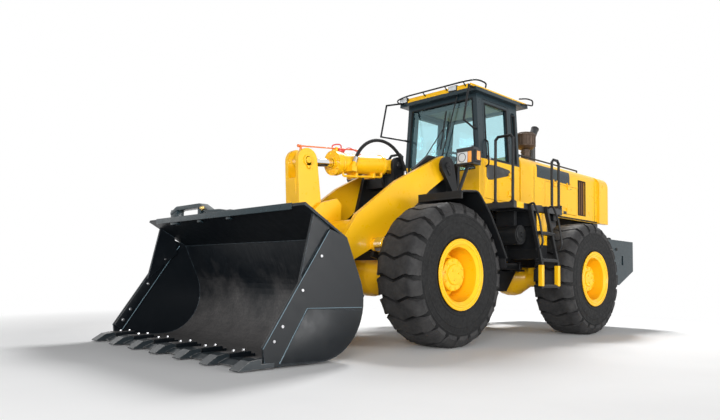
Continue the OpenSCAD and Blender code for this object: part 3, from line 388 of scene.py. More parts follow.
def bucket_enamel():
    """Dark bucket paint, worn to grey-brown steel low down inside, its pale edges bare steel with a painted
    highlight.
    """
    tree, shader = new_finish("bucket_enamel")
    skin = place_group(tree, "enamel_skin", Color=colour((0.0042, 0.0062, 0.0085)), Cloud=0.3, Gloss=0.36)
    put(shader, Specular_IOR_Level=0.30)
    bevel = add(tree, "ShaderNodeBevel", samples=6, Radius=0.007)
    edge_mask = place_group(tree, "edge_wear_and_highlight", Rounded=bevel.outputs[0], Amount=0.55).outputs["Mask"]
    # Pale blue-grey along the edges: bare worn steel with a painted highlight
    painted = mix(tree, edge_mask, skin.outputs["Color"], (0.16, 0.24, 0.29, 1))
    place = axes(tree, object_place(tree))
    facing = axes(tree, facing_way(tree))
    edge = ramp(tree, noise(tree, 3.0, 5, 0.6), 0.3, 0.7, -0.22, 0.22)
    height = plus(tree, place[2], edge)
    inside = ramp(tree, plus(tree, facing[2], facing[0]), 0.25, 0.55)
    within = ramp(tree, math_node(tree, "ABSOLUTE", place[1]), 1.445, 1.435)
    worn = times(tree, times(tree, ramp(tree, height, 0.78, 0.16), inside), within)
    scuffs = place_group(tree, "stone_scuffs", Amount=0.8)
    grain = ramp(tree, noise(tree, 40.0, 5, 0.7), 0.35, 0.7)
    metal = mix(tree, grain, (0.090, 0.088, 0.089, 1), (0.165, 0.155, 0.150, 1))
    bare = math_node(tree, "MAXIMUM", times(tree, worn, 0.8),
                     times(tree, scuffs.outputs["Mask"], times(tree, inside, 0.35)))
    join(tree, mix(tree, bare, painted, metal), shader.inputs["Base Color"])
    join(tree, plus(tree, skin.outputs["Roughness"], times(tree, bare, 0.2)), shader.inputs["Roughness"])
    join(tree, times(tree, bare, 0.3), shader.inputs["Metallic"])
    bump = add(tree, "ShaderNodeBump", Strength=0.12, Distance=0.001)
    join(tree, scuffs.outputs["Height"], bump.inputs["Height"])
    join(tree, bevel.outputs[0], bump.inputs["Normal"])
    join(tree, bump.outputs[0], shader.inputs["Normal"])


def steel(name, rgb, rough, metal=1.0, grain=120.0, depth=0.0003, rounding=0.004, soil=0.2):
    """Bare or plated metal with fine machining marks and a little soil."""
    tree, shader = new_finish(name)
    grime = times(tree, ramp(tree, noise(tree, 9.0, 5, 0.65), 0.4, 0.75), soil)
    darker = tuple(0.35 * part for part in rgb[:3])
    join(tree, mix(tree, grime, colour(rgb), colour(darker)), shader.inputs["Base Color"])
    join(tree, ramp(tree, noise(tree, 26.0, 5, 0.6), 0.25, 0.75, rough * 0.75, min(1.0, rough * 1.35)),
         shader.inputs["Roughness"])
    put(shader, Metallic=metal)
    height_to_normal(tree, shader, noise(tree, grain, 3), 0.15, depth, rounding)


def rubber(name, rgb, bloom, amount, depth=0.0008):
    tree, shader = new_finish(name)
    skin = place_group(tree, "rubber_skin", Color=colour(rgb), Bloom=colour(bloom), Amount=amount)
    join(tree, skin.outputs["Color"], shader.inputs["Base Color"])
    join(tree, skin.outputs["Roughness"], shader.inputs["Roughness"])
    put(shader, Specular_IOR_Level=0.22)
    height_to_normal(tree, shader, skin.outputs["Height"], 0.25, depth)


def plastic(name, rgb, rough, grain=300.0, depth=0.0003, rounding=0.003):
    tree, shader = new_finish(name)
    shade = ramp(tree, noise(tree, 14.0, 4), 0.3, 0.7, 0.0, 0.25)
    lighter = tuple(min(1.0, part * 1.6 + 0.01) for part in rgb[:3])
    join(tree, mix(tree, shade, colour(rgb), colour(lighter)), shader.inputs["Base Color"])
    join(tree, ramp(tree, noise(tree, 20.0, 3), 0.3, 0.7, rough - 0.06, rough + 0.08), shader.inputs["Roughness"])
    height_to_normal(tree, shader, noise(tree, grain, 2), 0.2, depth, rounding)


def clear_glass():
    """Tinted cab glass that lets light into the cab."""
    tree, shader = new_finish("cab_glazing")
    tree.nodes.remove(shader)
    tint = add(tree, "ShaderNodeBsdfTransparent", Color=(0.835, 0.945, 0.962, 1))
    shine = add(tree, "ShaderNodeBsdfGlossy", Color=(0.62, 0.90, 0.95, 1), Roughness=0.02)
    facing = add(tree, "ShaderNodeFresnel", IOR=1.5)
    outer = math_node(tree, "SUBTRACT", 1.0, add(tree, "ShaderNodeNewGeometry").outputs["Backfacing"])
    veil = plus(tree, facing.outputs[0], 0.07)
    mix_shaders(tree, times(tree, veil, outer), tint, shine, surface_of(tree))


def lens(name, rgb, ribs=90.0, glow=0.0):
    """Moulded lamp lens with fine ribs."""
    tree, shader = new_finish(name)
    wave = add(tree, "ShaderNodeTexWave", Scale=ribs, Distortion=0.0, bands_direction="Y")
    join(tree, object_place(tree), wave.inputs["Vector"])
    pale = tuple(min(1.0, part * 1.3 + 0.05) for part in rgb[:3])
    join(tree, mix(tree, wave.outputs["Fac"], colour(rgb), colour(pale)), shader.inputs["Base Color"])
    put(shader, Roughness=0.12, Coat_Weight=0.8, Coat_Roughness=0.03)
    if glow:
        put(shader, Emission_Color=colour(rgb), Emission_Strength=glow)
    height_to_normal(tree, shader, wave.outputs["Fac"], 0.3, 0.001)


def cloth(name, rgb):
    """Woven seat cloth."""
    tree, shader = new_finish(name)
    place = object_place(tree)
    threads = []
    for direction in ("Y", "Z"):
        wave = add(tree, "ShaderNodeTexWave", Scale=260.0, Distortion=1.2, bands_direction=direction)
        join(tree, place, wave.inputs["Vector"])
        threads.append(wave.outputs["Fac"])
    weave = times(tree, *threads)
    pale = tuple(part * 2.2 + 0.01 for part in rgb[:3])
    join(tree, mix(tree, weave, colour(rgb), colour(pale)), shader.inputs["Base Color"])
    put(shader, Roughness=0.85, Sheen_Weight=0.25)
    height_to_normal(tree, shader, weave, 0.5, 0.0008)


def deck_plate():
    """Black foot plate with raised studs, rubbed pale on their tops."""
    tree, shader = new_finish("deck_plate")
    skin = place_group(tree, "enamel_skin", Color=colour((0.016, 0.018, 0.021)), Cloud=0.3, Gloss=0.42)
    facing = axes(tree, facing_way(tree))
    top = ramp(tree, facing[2], 0.9, 0.97)
    studs = place_group(tree, "foot_plate_studs", Pitch=0.045)
    rubbed = times(tree, times(tree, studs.outputs["Mask"], top), 0.55)
    painted = mix(tree, rubbed, skin.outputs["Color"], (0.11, 0.11, 0.11, 1))
    dusty = place_group(tree, "settled_dust", Color=painted, Amount=0.3, Reach=3.0)
    join(tree, dusty.outputs["Color"], shader.inputs["Base Color"])
    join(tree, skin.outputs["Roughness"], shader.inputs["Roughness"])
    height_to_normal(tree, shader, times(tree, studs.outputs["Height"], top), 0.8, 0.003, 0.005)


def woven_wire():
    """Brown radiator mesh: woven wires, with painted shade near black in the gaps between them."""
    tree, shader = new_finish("mesh_screen")
    place = object_place(tree)
    wires = []
    for direction in ("X", "Y", "Z"):
        wave = add(tree, "ShaderNodeTexWave", Scale=28.0, Distortion=0.0, bands_direction=direction)
        join(tree, place, wave.inputs["Vector"])
        wires.append(ramp(tree, wave.outputs["Fac"], 0.70, 0.85))
    grid = math_node(tree, "MAXIMUM", math_node(tree, "MAXIMUM", wires[0], wires[1]), wires[2])
    # Brown wires, with near black between them as painted shade behind the mesh
    join(tree, mix(tree, grid, (0.012, 0.009, 0.007, 1), (0.20, 0.085, 0.030, 1)), shader.inputs["Base Color"])
    put(shader, Roughness=0.6)
    height_to_normal(tree, shader, grid, 0.9, 0.002)


def make_finishes(looks):
    """All the finishes, from the colours in the looks panel."""
    yellow, black, slate = (tuple(value) for value in (looks.yellow, looks.black, looks.slate))
    dust, panel = looks.dust, {"gloss": 0.30, "shine": 0.35}
    enamel("yellow_enamel", yellow, cloud=0.10, dust=dust * 0.35, reach=2.0, coat=0.12, **panel)
    enamel("chassis_black", black, gloss=0.42, cloud=0.25, dust=dust * 0.3, reach=2.4, bare=0.15,
           shine=0.25, coat=0.0)
    enamel("slate_enamel", slate, cloud=0.12, dust=dust * 0.4, reach=4.0, coat=0.05, **panel)
    enamel("cab_enamel", yellow, cloud=0.08, dust=dust * 0.3, split=(WAIST_Z, slate), coat=0.08, **panel)
    enamel("roof_enamel", slate, cloud=0.08, dust=dust * 0.3, split=(ROOF_EDGE_Z, yellow), coat=0.08, **panel)
    enamel("casting_grey", (0.045, 0.048, 0.052), gloss=0.55, cloud=0.3, dust=dust, reach=2.4)
    enamel("indicator_orange", (0.80, 0.16, 0.012), gloss=0.35)
    enamel("warning_red", (0.62, 0.02, 0.015), gloss=0.35)
    enamel("pale_enamel", (0.72, 0.72, 0.70), gloss=0.35, dust=dust)
    enamel("tooth_steel", (0.020, 0.027, 0.032), gloss=0.34, cloud=0.3, dust=0.0, bare=1.0, rounding=0.009, shine=0.4)
    # Pale blue-grey enamel that paints a highlight along the bucket's edges
    enamel("painted_edge_highlight", (0.13, 0.21, 0.255), gloss=0.30, cloud=0.4, dust=0.1)
    bucket_enamel()
    steel("scuffed_steel", (0.30, 0.29, 0.28), 0.42, soil=0.5)
    steel("bolt_steel", (0.42, 0.42, 0.43), 0.36, soil=0.35)
    steel("polished_rod", (0.78, 0.79, 0.80), 0.10, grain=300.0, depth=0.00008, soil=0.06)
    steel("brass_fitting", (0.72, 0.50, 0.18), 0.28, soil=0.3)
    steel("browned_steel", (0.085, 0.058, 0.042), 0.55, metal=0.6, soil=0.5)
    rubber("tread_rubber", (0.017, 0.017, 0.018), (0.062, 0.060, 0.059), 0.60, 0.0014)
    rubber("sidewall_rubber", (0.0052, 0.0053, 0.0056), (0.014, 0.014, 0.0145), 0.40, 0.0007)
    rubber("hose_rubber", (0.010, 0.010, 0.011), (0.030, 0.030, 0.030), 0.3, 0.0004)
    rubber("window_seal", (0.008, 0.008, 0.009), (0.020, 0.020, 0.020), 0.3, 0.0003)
    plastic("cabin_plastic", (0.022, 0.024, 0.027), 0.55)
    plastic("roof_lining", (0.17, 0.20, 0.21), 0.70)
    plastic("lamp_housing", (0.012, 0.013, 0.014), 0.40)
    clear_glass()
    lens("clear_lens", (0.50, 0.53, 0.55), 60.0)
    lens("amber_lens", (0.90, 0.30, 0.02), 110.0)
    lens("red_lens", (0.55, 0.012, 0.010), 110.0)
    cloth("seat_cloth", (0.020, 0.021, 0.024))
    deck_plate()
    woven_wire()


NODE_FINISH = {
    "chassis_black": ("rear_frame", "tanks", "ladders", "handrails", "front_frame", "front_fenders",
                      "left_steer_barrel", "right_steer_barrel"),
    "yellow_enamel": ("rear_axle", "front_axle", "hood_shell", "left_hood_door", "right_hood_door",
                      "rear_grille", "boom", "bellcrank", "tilt_link", "tilt_barrel", "lift_barrels",
                      "front_left_rim", "front_right_rim", "rear_left_rim", "rear_right_rim"),
    "cab_enamel": ("cab_body", "left_door", "right_door"),
    "slate_enamel": ("counterweight",),
    "roof_enamel": ("cab_roof",),
    "casting_grey": ("engine_block", "transmission", "radiator"),
    "deck_plate": ("platforms",),
    "bucket_enamel": ("bucket_shell",),
    "tooth_steel": ("cutting_edge",),
    "scuffed_steel": ("bucket_pins", "bellcrank_pin", "link_pin"),
    "polished_rod": ("tilt_rod", "lift_rods", "left_steer_rod", "right_steer_rod"),
    "browned_steel": ("air_precleaner",),
    "cabin_plastic": ("steering_console",),
    "lamp_housing": ("headlamps", "exhaust_stack"),
    "hose_rubber": ("tilt_hose",),
    "seat_cloth": ("seat",),
    "cab_glazing": ("cab_glass", "left_door_glass", "right_door_glass"),
    "sidewall_rubber": ("front_left_tyre", "front_right_tyre", "rear_left_tyre", "rear_right_tyre"),
}


def paint_frame():
    """Gives every CAD node its finish."""
    for finish, nodes in NODE_FINISH.items():
        for name in nodes:
            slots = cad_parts[name].data.materials
            slots.clear()
            slots.append(FINISH[finish])


# Shape helpers


def span(direction):
    """A turn that takes the z axis to a direction."""
    return Vector(direction).to_track_quat("Z", "Y").to_matrix().to_4x4()


def block(bm, low, high, bevel=0.004, turn=None):
    """A box between two corners, its edges rounded."""
    low, high = Vector(low), Vector(high)
    middle = Matrix.Translation((low + high) / 2)
    if turn is not None:
        middle = middle @ turn
    shape = bmesh.ops.create_cube(bm, size=1, matrix=middle @ Matrix.Diagonal((*(high - low), 1)))
    soften(bm, shape["verts"], bevel)
    return shape["verts"]


def soften(bm, verts, width, segments=2):
    if width:
        edges = list({edge for vert in verts for edge in vert.link_edges})
        bmesh.ops.bevel(bm, geom=edges, offset=width, affect="EDGES", segments=segments, profile=0.5, material=-1,
                        clamp_overlap=True)


def peg(bm, start, end, radius, end_radius=None, sides=20, bevel=0.0):
    """A round bar between two points."""
    start, end = Vector(start), Vector(end)
    length = (end - start).length
    place = Matrix.Translation((start + end) / 2) @ span(end - start)
    shape = bmesh.ops.create_cone(bm, cap_ends=True, segments=sides, radius1=radius,
                                  radius2=radius if end_radius is None else end_radius, depth=length, matrix=place)
    if bevel:
        rims = [e for e in {e for v in shape["verts"] for e in v.link_edges}
                if any(len(f.verts) == sides for f in e.link_faces)]
        bmesh.ops.bevel(bm, geom=rims, offset=bevel, affect="EDGES", segments=2, profile=0.5, material=-1)
    return shape["verts"]


def turned(bm, base, direction, outline, sides=32):
    """A shape of revolution: outline is radius and height pairs along a direction from a base point."""
    place = Matrix.Translation(Vector(base)) @ span(direction)
    verts = [bm.verts.new(place @ Vector((radius, 0, height))) for radius, height in outline]
    edges = [bm.edges.new(pair) for pair in zip(verts, verts[1:])]
    axis = (place.to_3x3() @ Vector((0, 0, 1))).normalized()
    bmesh.ops.spin(bm, geom=verts + edges, cent=base, axis=axis, angle=2 * math.pi, steps=sides, use_merge=True)


def on_axis(axis, pair, depth):
    """A place given by a pair of values across an axis and its depth along it."""
    return Vector({"x": (depth, *pair), "y": (pair[0], depth, pair[1]), "z": (*pair, depth)}[axis])


def prism(bm, outline, axis, start, end, bevel=0.0):
    """An outline drawn across an axis, in the two other directions, pushed out between two places along it."""
    face = bm.faces.new([bm.verts.new(on_axis(axis, pair, start)) for pair in outline])
    grown = bmesh.ops.extrude_face_region(bm, geom=[face], use_keep_orig=True)["geom"]
    verts = [v for v in grown if isinstance(v, bmesh.types.BMVert)]
    bmesh.ops.translate(bm, verts=verts, vec=on_axis(axis, (0, 0), end - start))
    soften(bm, list(set(verts) | set(face.verts)), bevel)


def side_prism(bm, side, outline, near, far, bevel):
    """A prism on one side of the machine, between two distances from its middle."""
    prism(bm, outline, "y", side * near, side * far, bevel)


def side_block(bm, side, low, high, bevel):
    """A box on one side of the machine, its y values measured from the middle."""
    near, far = sorted((side * low[1], side * high[1]))
    block(bm, (low[0], near, low[2]), (high[0], far, high[2]), bevel)


def side_path(side, points):
    return [(x, side * y, z) for x, y, z in points]


def rim_strip(bm, outline, axis, start, end, width):
    """A strip of some width inside an outline, drawn as prism() draws it."""
    face = bm.faces.new([bm.verts.new(on_axis(axis, pair, start)) for pair in outline])
    bm.normal_update()
    ring = bmesh.ops.inset_region(bm, faces=[face], thickness=width, use_even_offset=True, use_boundary=True)["faces"]
    bmesh.ops.delete(bm, geom=[face], context="FACES")
    grown = bmesh.ops.extrude_face_region(bm, geom=ring, use_keep_orig=True)["geom"]
    verts = [v for v in grown if isinstance(v, bmesh.types.BMVert)]
    bmesh.ops.translate(bm, verts=verts, vec=on_axis(axis, (0, 0), end - start))


def rounded_path(points, bend, steps=5):
    """A path whose corners are eased within a distance."""
    points = [Vector(p) for p in points]
    path = [points[0]]
    for before, corner, after in zip(points, points[1:], points[2:]):
        reach = min(bend, (corner - before).length * 0.48, (after - corner).length * 0.48)
        start = corner + (before - corner).normalized() * reach
        end = corner + (after - corner).normalized() * reach
        for index in range(steps + 1):
            t = index / steps
            path.append((1 - t) ** 2 * start + 2 * t * (1 - t) * corner + t * t * end)
    return path + [points[-1]]


def smooth_path(points, steps=8):
    """A curve through points, for hoses."""
    points = [Vector(p) for p in points]
    padded = [2 * points[0] - points[1], *points, 2 * points[-1] - points[-2]]
    path = []
    for p0, p1, p2, p3 in zip(padded, padded[1:], padded[2:], padded[3:]):
        for index in range(steps):
            t = index / steps
            path.append(0.5 * (2 * p1 + (p2 - p0) * t + (2 * p0 - 5 * p1 + 4 * p2 - p3) * t * t
                               + (3 * p1 - p0 - 3 * p2 + p3) * t ** 3))
    return path + [points[-1]]


def tube(bm, path, radius, sides=10):
    """A closed tube along a path."""
    path = [Vector(p) for p in path]
    turn = span(path[1] - path[0]).to_quaternion()
    heading = (path[1] - path[0]).normalized()
    place = Matrix.Translation(path[0]) @ turn.to_matrix().to_4x4()
    ring = bmesh.ops.create_circle(bm, cap_ends=True, segments=sides, radius=radius, matrix=place)["verts"]
    edges = list({e for v in ring for e in v.link_edges if all(w in ring for w in e.verts)})
    for index in range(1, len(path)):
        following = path[min(index + 1, len(path) - 1)] - path[index - 1]
        new_heading = following.normalized()
        turn = heading.rotation_difference(new_heading) @ turn
        heading = new_heading
        new_place = Matrix.Translation(path[index]) @ turn.to_matrix().to_4x4()
        grown = bmesh.ops.extrude_edge_only(bm, edges=edges)["geom"]
        verts = [v for v in grown if isinstance(v, bmesh.types.BMVert)]
        edges = [e for e in grown if isinstance(e, bmesh.types.BMEdge) and all(v in verts for v in e.verts)]
        bmesh.ops.transform(bm, matrix=new_place @ place.inverted(), verts=verts)
        place = new_place
    bmesh.ops.edgeloop_fill(bm, edges=edges)


def bent(bm, points, bend, radius, sides):
    """A tube along a path with eased corners."""
    tube(bm, rounded_path(points, bend), radius, sides)


def bolt(bm, place, direction, size=0.016):
    """A hexagon head on a washer."""
    place, direction = Vector(place), Vector(direction).normalized()
    peg(bm, place - direction * 0.002, place + direction * size * 0.3, size * 1.3, sides=14)
    peg(bm, place + direction * size * 0.2, place + direction * size * 1.1, size, size * 0.96, sides=6)


def bolt_ring(bm, middle, direction, radius, count, size, first=0.0):
    middle, direction = Vector(middle), Vector(direction).normalized()
    across = direction.orthogonal().normalized()
    for index in range(count):
        turn = Quaternion(direction, first + 2 * math.pi * index / count)
        bolt(bm, middle + turn @ across * radius, direction, size)


def piece(bm, name, body, finishes, sharp=35.0, from_axle=True):
    """Turns a bmesh into a finished piece that rides on a body, or on none."""
    bmesh.ops.remove_doubles(bm, verts=bm.verts, dist=0.00005)
    if from_axle:
        bmesh.ops.translate(bm, verts=bm.verts, vec=(FRONT_X, 0, 0))
    bmesh.ops.recalc_face_normals(bm, faces=bm.faces)
    mesh = bpy.data.meshes.new(name)
    bm.to_mesh(mesh)
    bm.free()
    mesh.shade_smooth()
    mesh.set_sharp_from_angle(angle=math.radians(sharp))
    made = bpy.data.objects.new(name, mesh)
    bpy.context.scene.collection.objects.link(made)
    for finish in finishes if isinstance(finishes, (tuple, list)) else (finishes,):
        mesh.materials.append(FINISH[finish])
    if body:
        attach(made, body)
    return made


def paint_new(bm, done, index):
    """Gives the faces that aren't among those done before another material."""
    for face in bm.faces:
        if face not in done:
            face.material_index = index


# Tyres


def crown_radius(y):
    """Outer radius of the tread at a distance from the tyre's middle."""
    profile = ((0.0, 0.0), (0.142, 0.0), (0.202, 0.008), (0.248, 0.030), (0.276, 0.062), (0.292, 0.105))
    y = abs(y)
    for (y0, d0), (y1, d1) in zip(profile, profile[1:]):
        if y <= y1:
            return WHEEL_R - d0 - (d1 - d0) * (y - y0) / (y1 - y0)
    return WHEEL_R - profile[-1][1]


def wave(across):
    """Zigzag of a lug over the tread, from edge to edge."""
    knees = ((-1.0, 0.25), (-0.55, -0.75), (0.05, 0.75), (0.6, -0.55), (1.0, 0.15))
    for (a0, w0), (a1, w1) in zip(knees, knees[1:]):
        if across <= a1:
            return w0 + (w1 - w0) * (across - a0) / (a1 - a0)
    return knees[-1][1]


def tread_lug(bm, count, depth):
    """One zigzag lug over the whole tread, standing on the carcass."""
    pitch = 2 * math.pi / count
    grid = bmesh.ops.create_grid(bm, x_segments=20, y_segments=4, size=1.0)["verts"]
    faces = [f for f in bm.faces if all(v in grid for v in f.verts)]
    grown = bmesh.ops.extrude_face_region(bm, geom=faces, use_keep_orig=True)["geom"]
    top = {v for v in grown if isinstance(v, bmesh.types.BMVert)}
    for vert in list(top) + list(grid):
        across, round_it = vert.co.x, vert.co.y
        raised = vert in top
        y = 0.287 * across
        share = 0.395 if raised else 0.425
        end = max(0.0, abs(across) - 0.8) / 0.2
        share -= 0.05 * end
        angle = pitch * (share * round_it + 0.20 * wave(across))
        radius = crown_radius(y) - (0.0 if raised else depth + 0.012)
        vert.co = (radius * math.sin(angle), y, radius * math.cos(angle))
    sharp = [e for e in bm.edges if len(e.link_faces) == 2 and e.calc_face_angle(0) > 0.7
             and any(v in top for v in e.verts)]
    bmesh.ops.bevel(bm, geom=sharp, offset=0.007, affect="EDGES", segments=2, profile=0.5, material=-1)
    everything = bm.verts[:] + bm.edges[:] + bm.faces[:]
    bmesh.ops.spin(bm, geom=everything, cent=(0, 0, 0), axis=(0, 1, 0), angle=2 * math.pi * (count - 1) / count,
                   steps=count - 1, use_duplicate=True)


def carcass(bm, depth):
    """The tyre under its lugs: bead, ribbed side walls and tread floor, turned about the axle."""
    side = [(0.3195, 0.248), (0.365, 0.250), (0.391, 0.270), (0.412, 0.279), (0.424, 0.287), (0.444, 0.288),
            (0.450, 0.284), (0.520, 0.290), (0.566, 0.2915), (0.570, 0.2940), (0.580, 0.2940), (0.584, 0.2915),
            (0.640, 0.290), (0.644, 0.2925), (0.652, 0.2925), (0.656, 0.289), (0.690, 0.284)]
    floor = [(crown_radius(y) - depth, y) for y in (0.272, 0.248, 0.20, 0.14, 0.07)]
    half = side + floor
    outline = half + [(radius, -y) for radius, y in reversed(half)]
    verts = [bm.verts.new((radius, y, 0)) for radius, y in outline]
    edges = [bm.edges.new(pair) for pair in zip(verts, verts[1:] + verts[:1])]
    bmesh.ops.spin(bm, geom=verts + edges, cent=(0, 0, 0), axis=(0, 1, 0), angle=2 * math.pi, steps=96,
                   use_merge=True)


WHEELS = [(f"{end}_{side}", sign, x) for end, x in (("front", FRONT_X), ("rear", REAR_X)) for side, sign in SIDES]


def make_tyres(looks):
    for name, sign, x in WHEELS:
        bm = bmesh.new()
        tread_lug(bm, looks.lug_count, looks.lug_depth)
        done = set(bm.faces)
        carcass(bm, looks.lug_depth)
        paint_new(bm, done, 1)
        turn = 0.06 if name.startswith("front") else 0.11
        bmesh.ops.rotate(bm, verts=bm.verts, cent=(0, 0, 0), matrix=Matrix.Rotation(turn, 3, "Y"))
        if sign < 0:
            bmesh.ops.rotate(bm, verts=bm.verts, cent=(0, 0, 0), matrix=Matrix.Rotation(math.pi, 3, "Z"))
        bmesh.ops.translate(bm, verts=bm.verts, vec=(x, sign * TREAD_Y, WHEEL_R))
        tyre = piece(bm, f"{name}_lugged_tyre", f"{name}_wheel", ("tread_rubber", "sidewall_rubber"),
                     30, from_axle=False)
        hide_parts(f"{name}_tyre")


# Wheel fittings


def make_wheel_fittings():
    """Nuts, hub cover, lock ring and valve of each wheel."""
    for name, sign, x in WHEELS:
        bm = bmesh.new()
        out = Vector((0, sign, 0))

        def middle(depth):
            return Vector((x - FRONT_X, sign * (TREAD_Y + depth), WHEEL_R))

        bolt_ring(bm, middle(-0.030), out, 0.268, 12, 0.017)
        bolt_ring(bm, middle(0.180), out, 0.155, 10, 0.012)
        turned(bm, middle(0.0), out, [(0.115, 0.178), (0.115, 0.190), (0.106, 0.198), (0.0, 0.198)])
        bolt_ring(bm, middle(0.198), out, 0.062, 3, 0.010)
        for inner, outer in ((0.334, 0.360), (0.376, 0.395)):
            turned(bm, middle(0.0), out, [(inner, 0.284), (inner + 0.004, 0.293), (outer - 0.004, 0.293),
                                          (outer, 0.284), (inner, 0.284)], 64)
        done = set(bm.faces)
        stem = middle(0.10) + Vector((0.0, 0.0, -0.305))
        peg(bm, stem, stem + out * 0.075, 0.008, sides=10)
        peg(bm, stem + out * 0.07, stem + out * 0.095, 0.011, 0.009, sides=12)
        paint_new(bm, done, 1)
        piece(bm, f"{name}_wheel_fittings", f"{name}_wheel", ("yellow_enamel", "bolt_steel"))


# Bucket

TEETH = [-1.405 + 2.81 * index / 6 for index in range(7)]


def make_bucket_fittings():
    """Tooth adapters, side cutters, wear plates and the lip strip."""
    bm = bmesh.new()
    for y in TEETH:
        block(bm, (2.400, y - 0.050, 0.052), (2.660, y + 0.050, 0.100), 0.010)
        block(bm, (2.350, y - 0.036, 0.050), (2.420, y + 0.036, 0.078), 0.008)
        done = set(bm.faces)
        for x in (2.450, 2.550):
            bolt(bm, (x, y, 0.100), (0, 0, 1), 0.015)
        paint_new(bm, done, 1)
    for _, side in SIDES:
        # Bolted side cutter inside the front edge
        side_prism(bm, side, [(2.615, 0.175), (1.965, 1.150), (1.875, 1.090), (2.527, 0.115)], 1.428, 1.446, 0.003)
        done = set(bm.faces)
        for share in (0.08, 0.20, 0.50, 0.80):
            place = Vector((2.571, 0.0, 0.145)).lerp(Vector((1.920, 0.0, 1.120)), share)
            bolt(bm, (place.x, side * 1.428, place.z), (0, -side, 0), 0.013)
            peg(bm, (place.x, side * 1.466, place.z), (place.x, side * 1.478, place.z), 0.015, 0.013, sides=16)
        paint_new(bm, done, 1)
        # Wear plate low on the outside
        arc = [(CURL_X + 0.488 * math.cos(angle), CURL_Z + 0.488 * math.sin(angle))
               for angle in (math.radians(value) for value in range(188, 271, 8))]
        side_prism(bm, side, [*arc, (2.46, 0.040), (2.19, 0.480)], 1.468, 1.477, 0.003)
        # Painted highlights along the edges of the side plates, drawn as thin pale tubes
        done = set(bm.faces)
        for path in (((2.622, 0.168), (1.968, 1.150)), ((1.560, 0.480), (2.190, 0.482), (2.460, 0.044))):
            tube(bm, [(x, side * 1.469, z) for x, z in path], 0.0035, 6)
        tube(bm, [(2.527, side * 1.427, 0.112), (1.872, side * 1.427, 1.092)], 0.0035, 6)
        paint_new(bm, done, 2)
    piece(bm, "bucket_fittings", "bucket", ("bucket_enamel", "bolt_steel", "painted_edge_highlight"))

    bm = bmesh.new()
    block(bm, (2.236, -1.285, 1.322), (2.252, 1.285, 1.382), 0.005)
    # Lugs and strap on the spill guard
    block(bm, (2.130, -1.00, 1.300), (2.220, -0.850, 1.470), 0.010)
    strap = [(-1.00, 1.440), (-0.860, 1.500), (-0.350, 1.500), (-0.170, 1.420), (0.060, 1.412), (0.230, 1.385),
             (0.230, 1.360), (0.050, 1.375), (-0.180, 1.380), (-0.360, 1.455), (-0.840, 1.455), (-0.990, 1.410)]
    prism(bm, strap, "x", 2.120, 2.228, 0.008)
    block(bm, (2.135, 0.150, 1.300), (2.205, 0.226, 1.400), 0.008)
    block(bm, (2.135, -0.420, 1.300), (2.205, -0.350, 1.470), 0.008)
    done = set(bm.faces)
    turned(bm, (2.226, -0.260, 1.440), (1, 0, 0), [(0.022, 0.0), (0.022, 0.018), (0.014, 0.022), (0.014, 0.036),
                                                  (0.008, 0.040), (0.0, 0.040)], 18)
    paint_new(bm, done, 1)
    piece(bm, "bucket_lip", "bucket", ("slate_enamel", "brass_fitting"))

    # Weld seams across the inside and ribs on the back
    bm = bmesh.new()
    tube(bm, [(SEAM_X, -1.415, SEAM_Z), (SEAM_X, 1.415, SEAM_Z)], 0.007, 8)
    for y in (-1.10, -0.78, 0.78, 1.10):
        arc = [(CURL_X + radius * math.cos(angle), CURL_Z + radius * math.sin(angle))
               for radius, order in ((0.497, 1), (0.545, -1))
               for angle in [math.radians(value) for value in range(160, 242, 10)][::order]]
        prism(bm, arc, "y", y - 0.010, y + 0.010, 0.002)
    piece(bm, "bucket_ribs", "bucket", "bucket_enamel")


# Linkage


def keeper(bm, x, z, y, side, turn, size=0.05):
    """Pin end held by a bolted lozenge plate, with a grease nipple."""
    cos, sin = math.cos(turn), math.sin(turn)
    shape = ((-0.9, -0.35), (-0.35, -0.9), (0.45, -0.8), (1.9, -0.32), (2.1, 0.0), (1.9, 0.32), (0.45, 0.8),
             (-0.35, 0.9), (-0.9, 0.35))
    outline = [(x + size * (a * cos - b * sin), z + size * (a * sin + b * cos)) for a, b in shape]
    side_prism(bm, side, outline, y - 0.001, y + 0.010, 0.002)
    bolt(bm, (x + 1.65 * size * cos, side * (y + 0.010), z + 1.65 * size * sin), (0, side, 0), 0.010)
    turned(bm, (x, side * y, z), (0, side, 0), [(0.74 * size, 0.0), (0.74 * size, 0.016), (0.66 * size, 0.021),
                                                (0.14 * size, 0.021), (0.12 * size, 0.030), (0.0, 0.030)], 28)


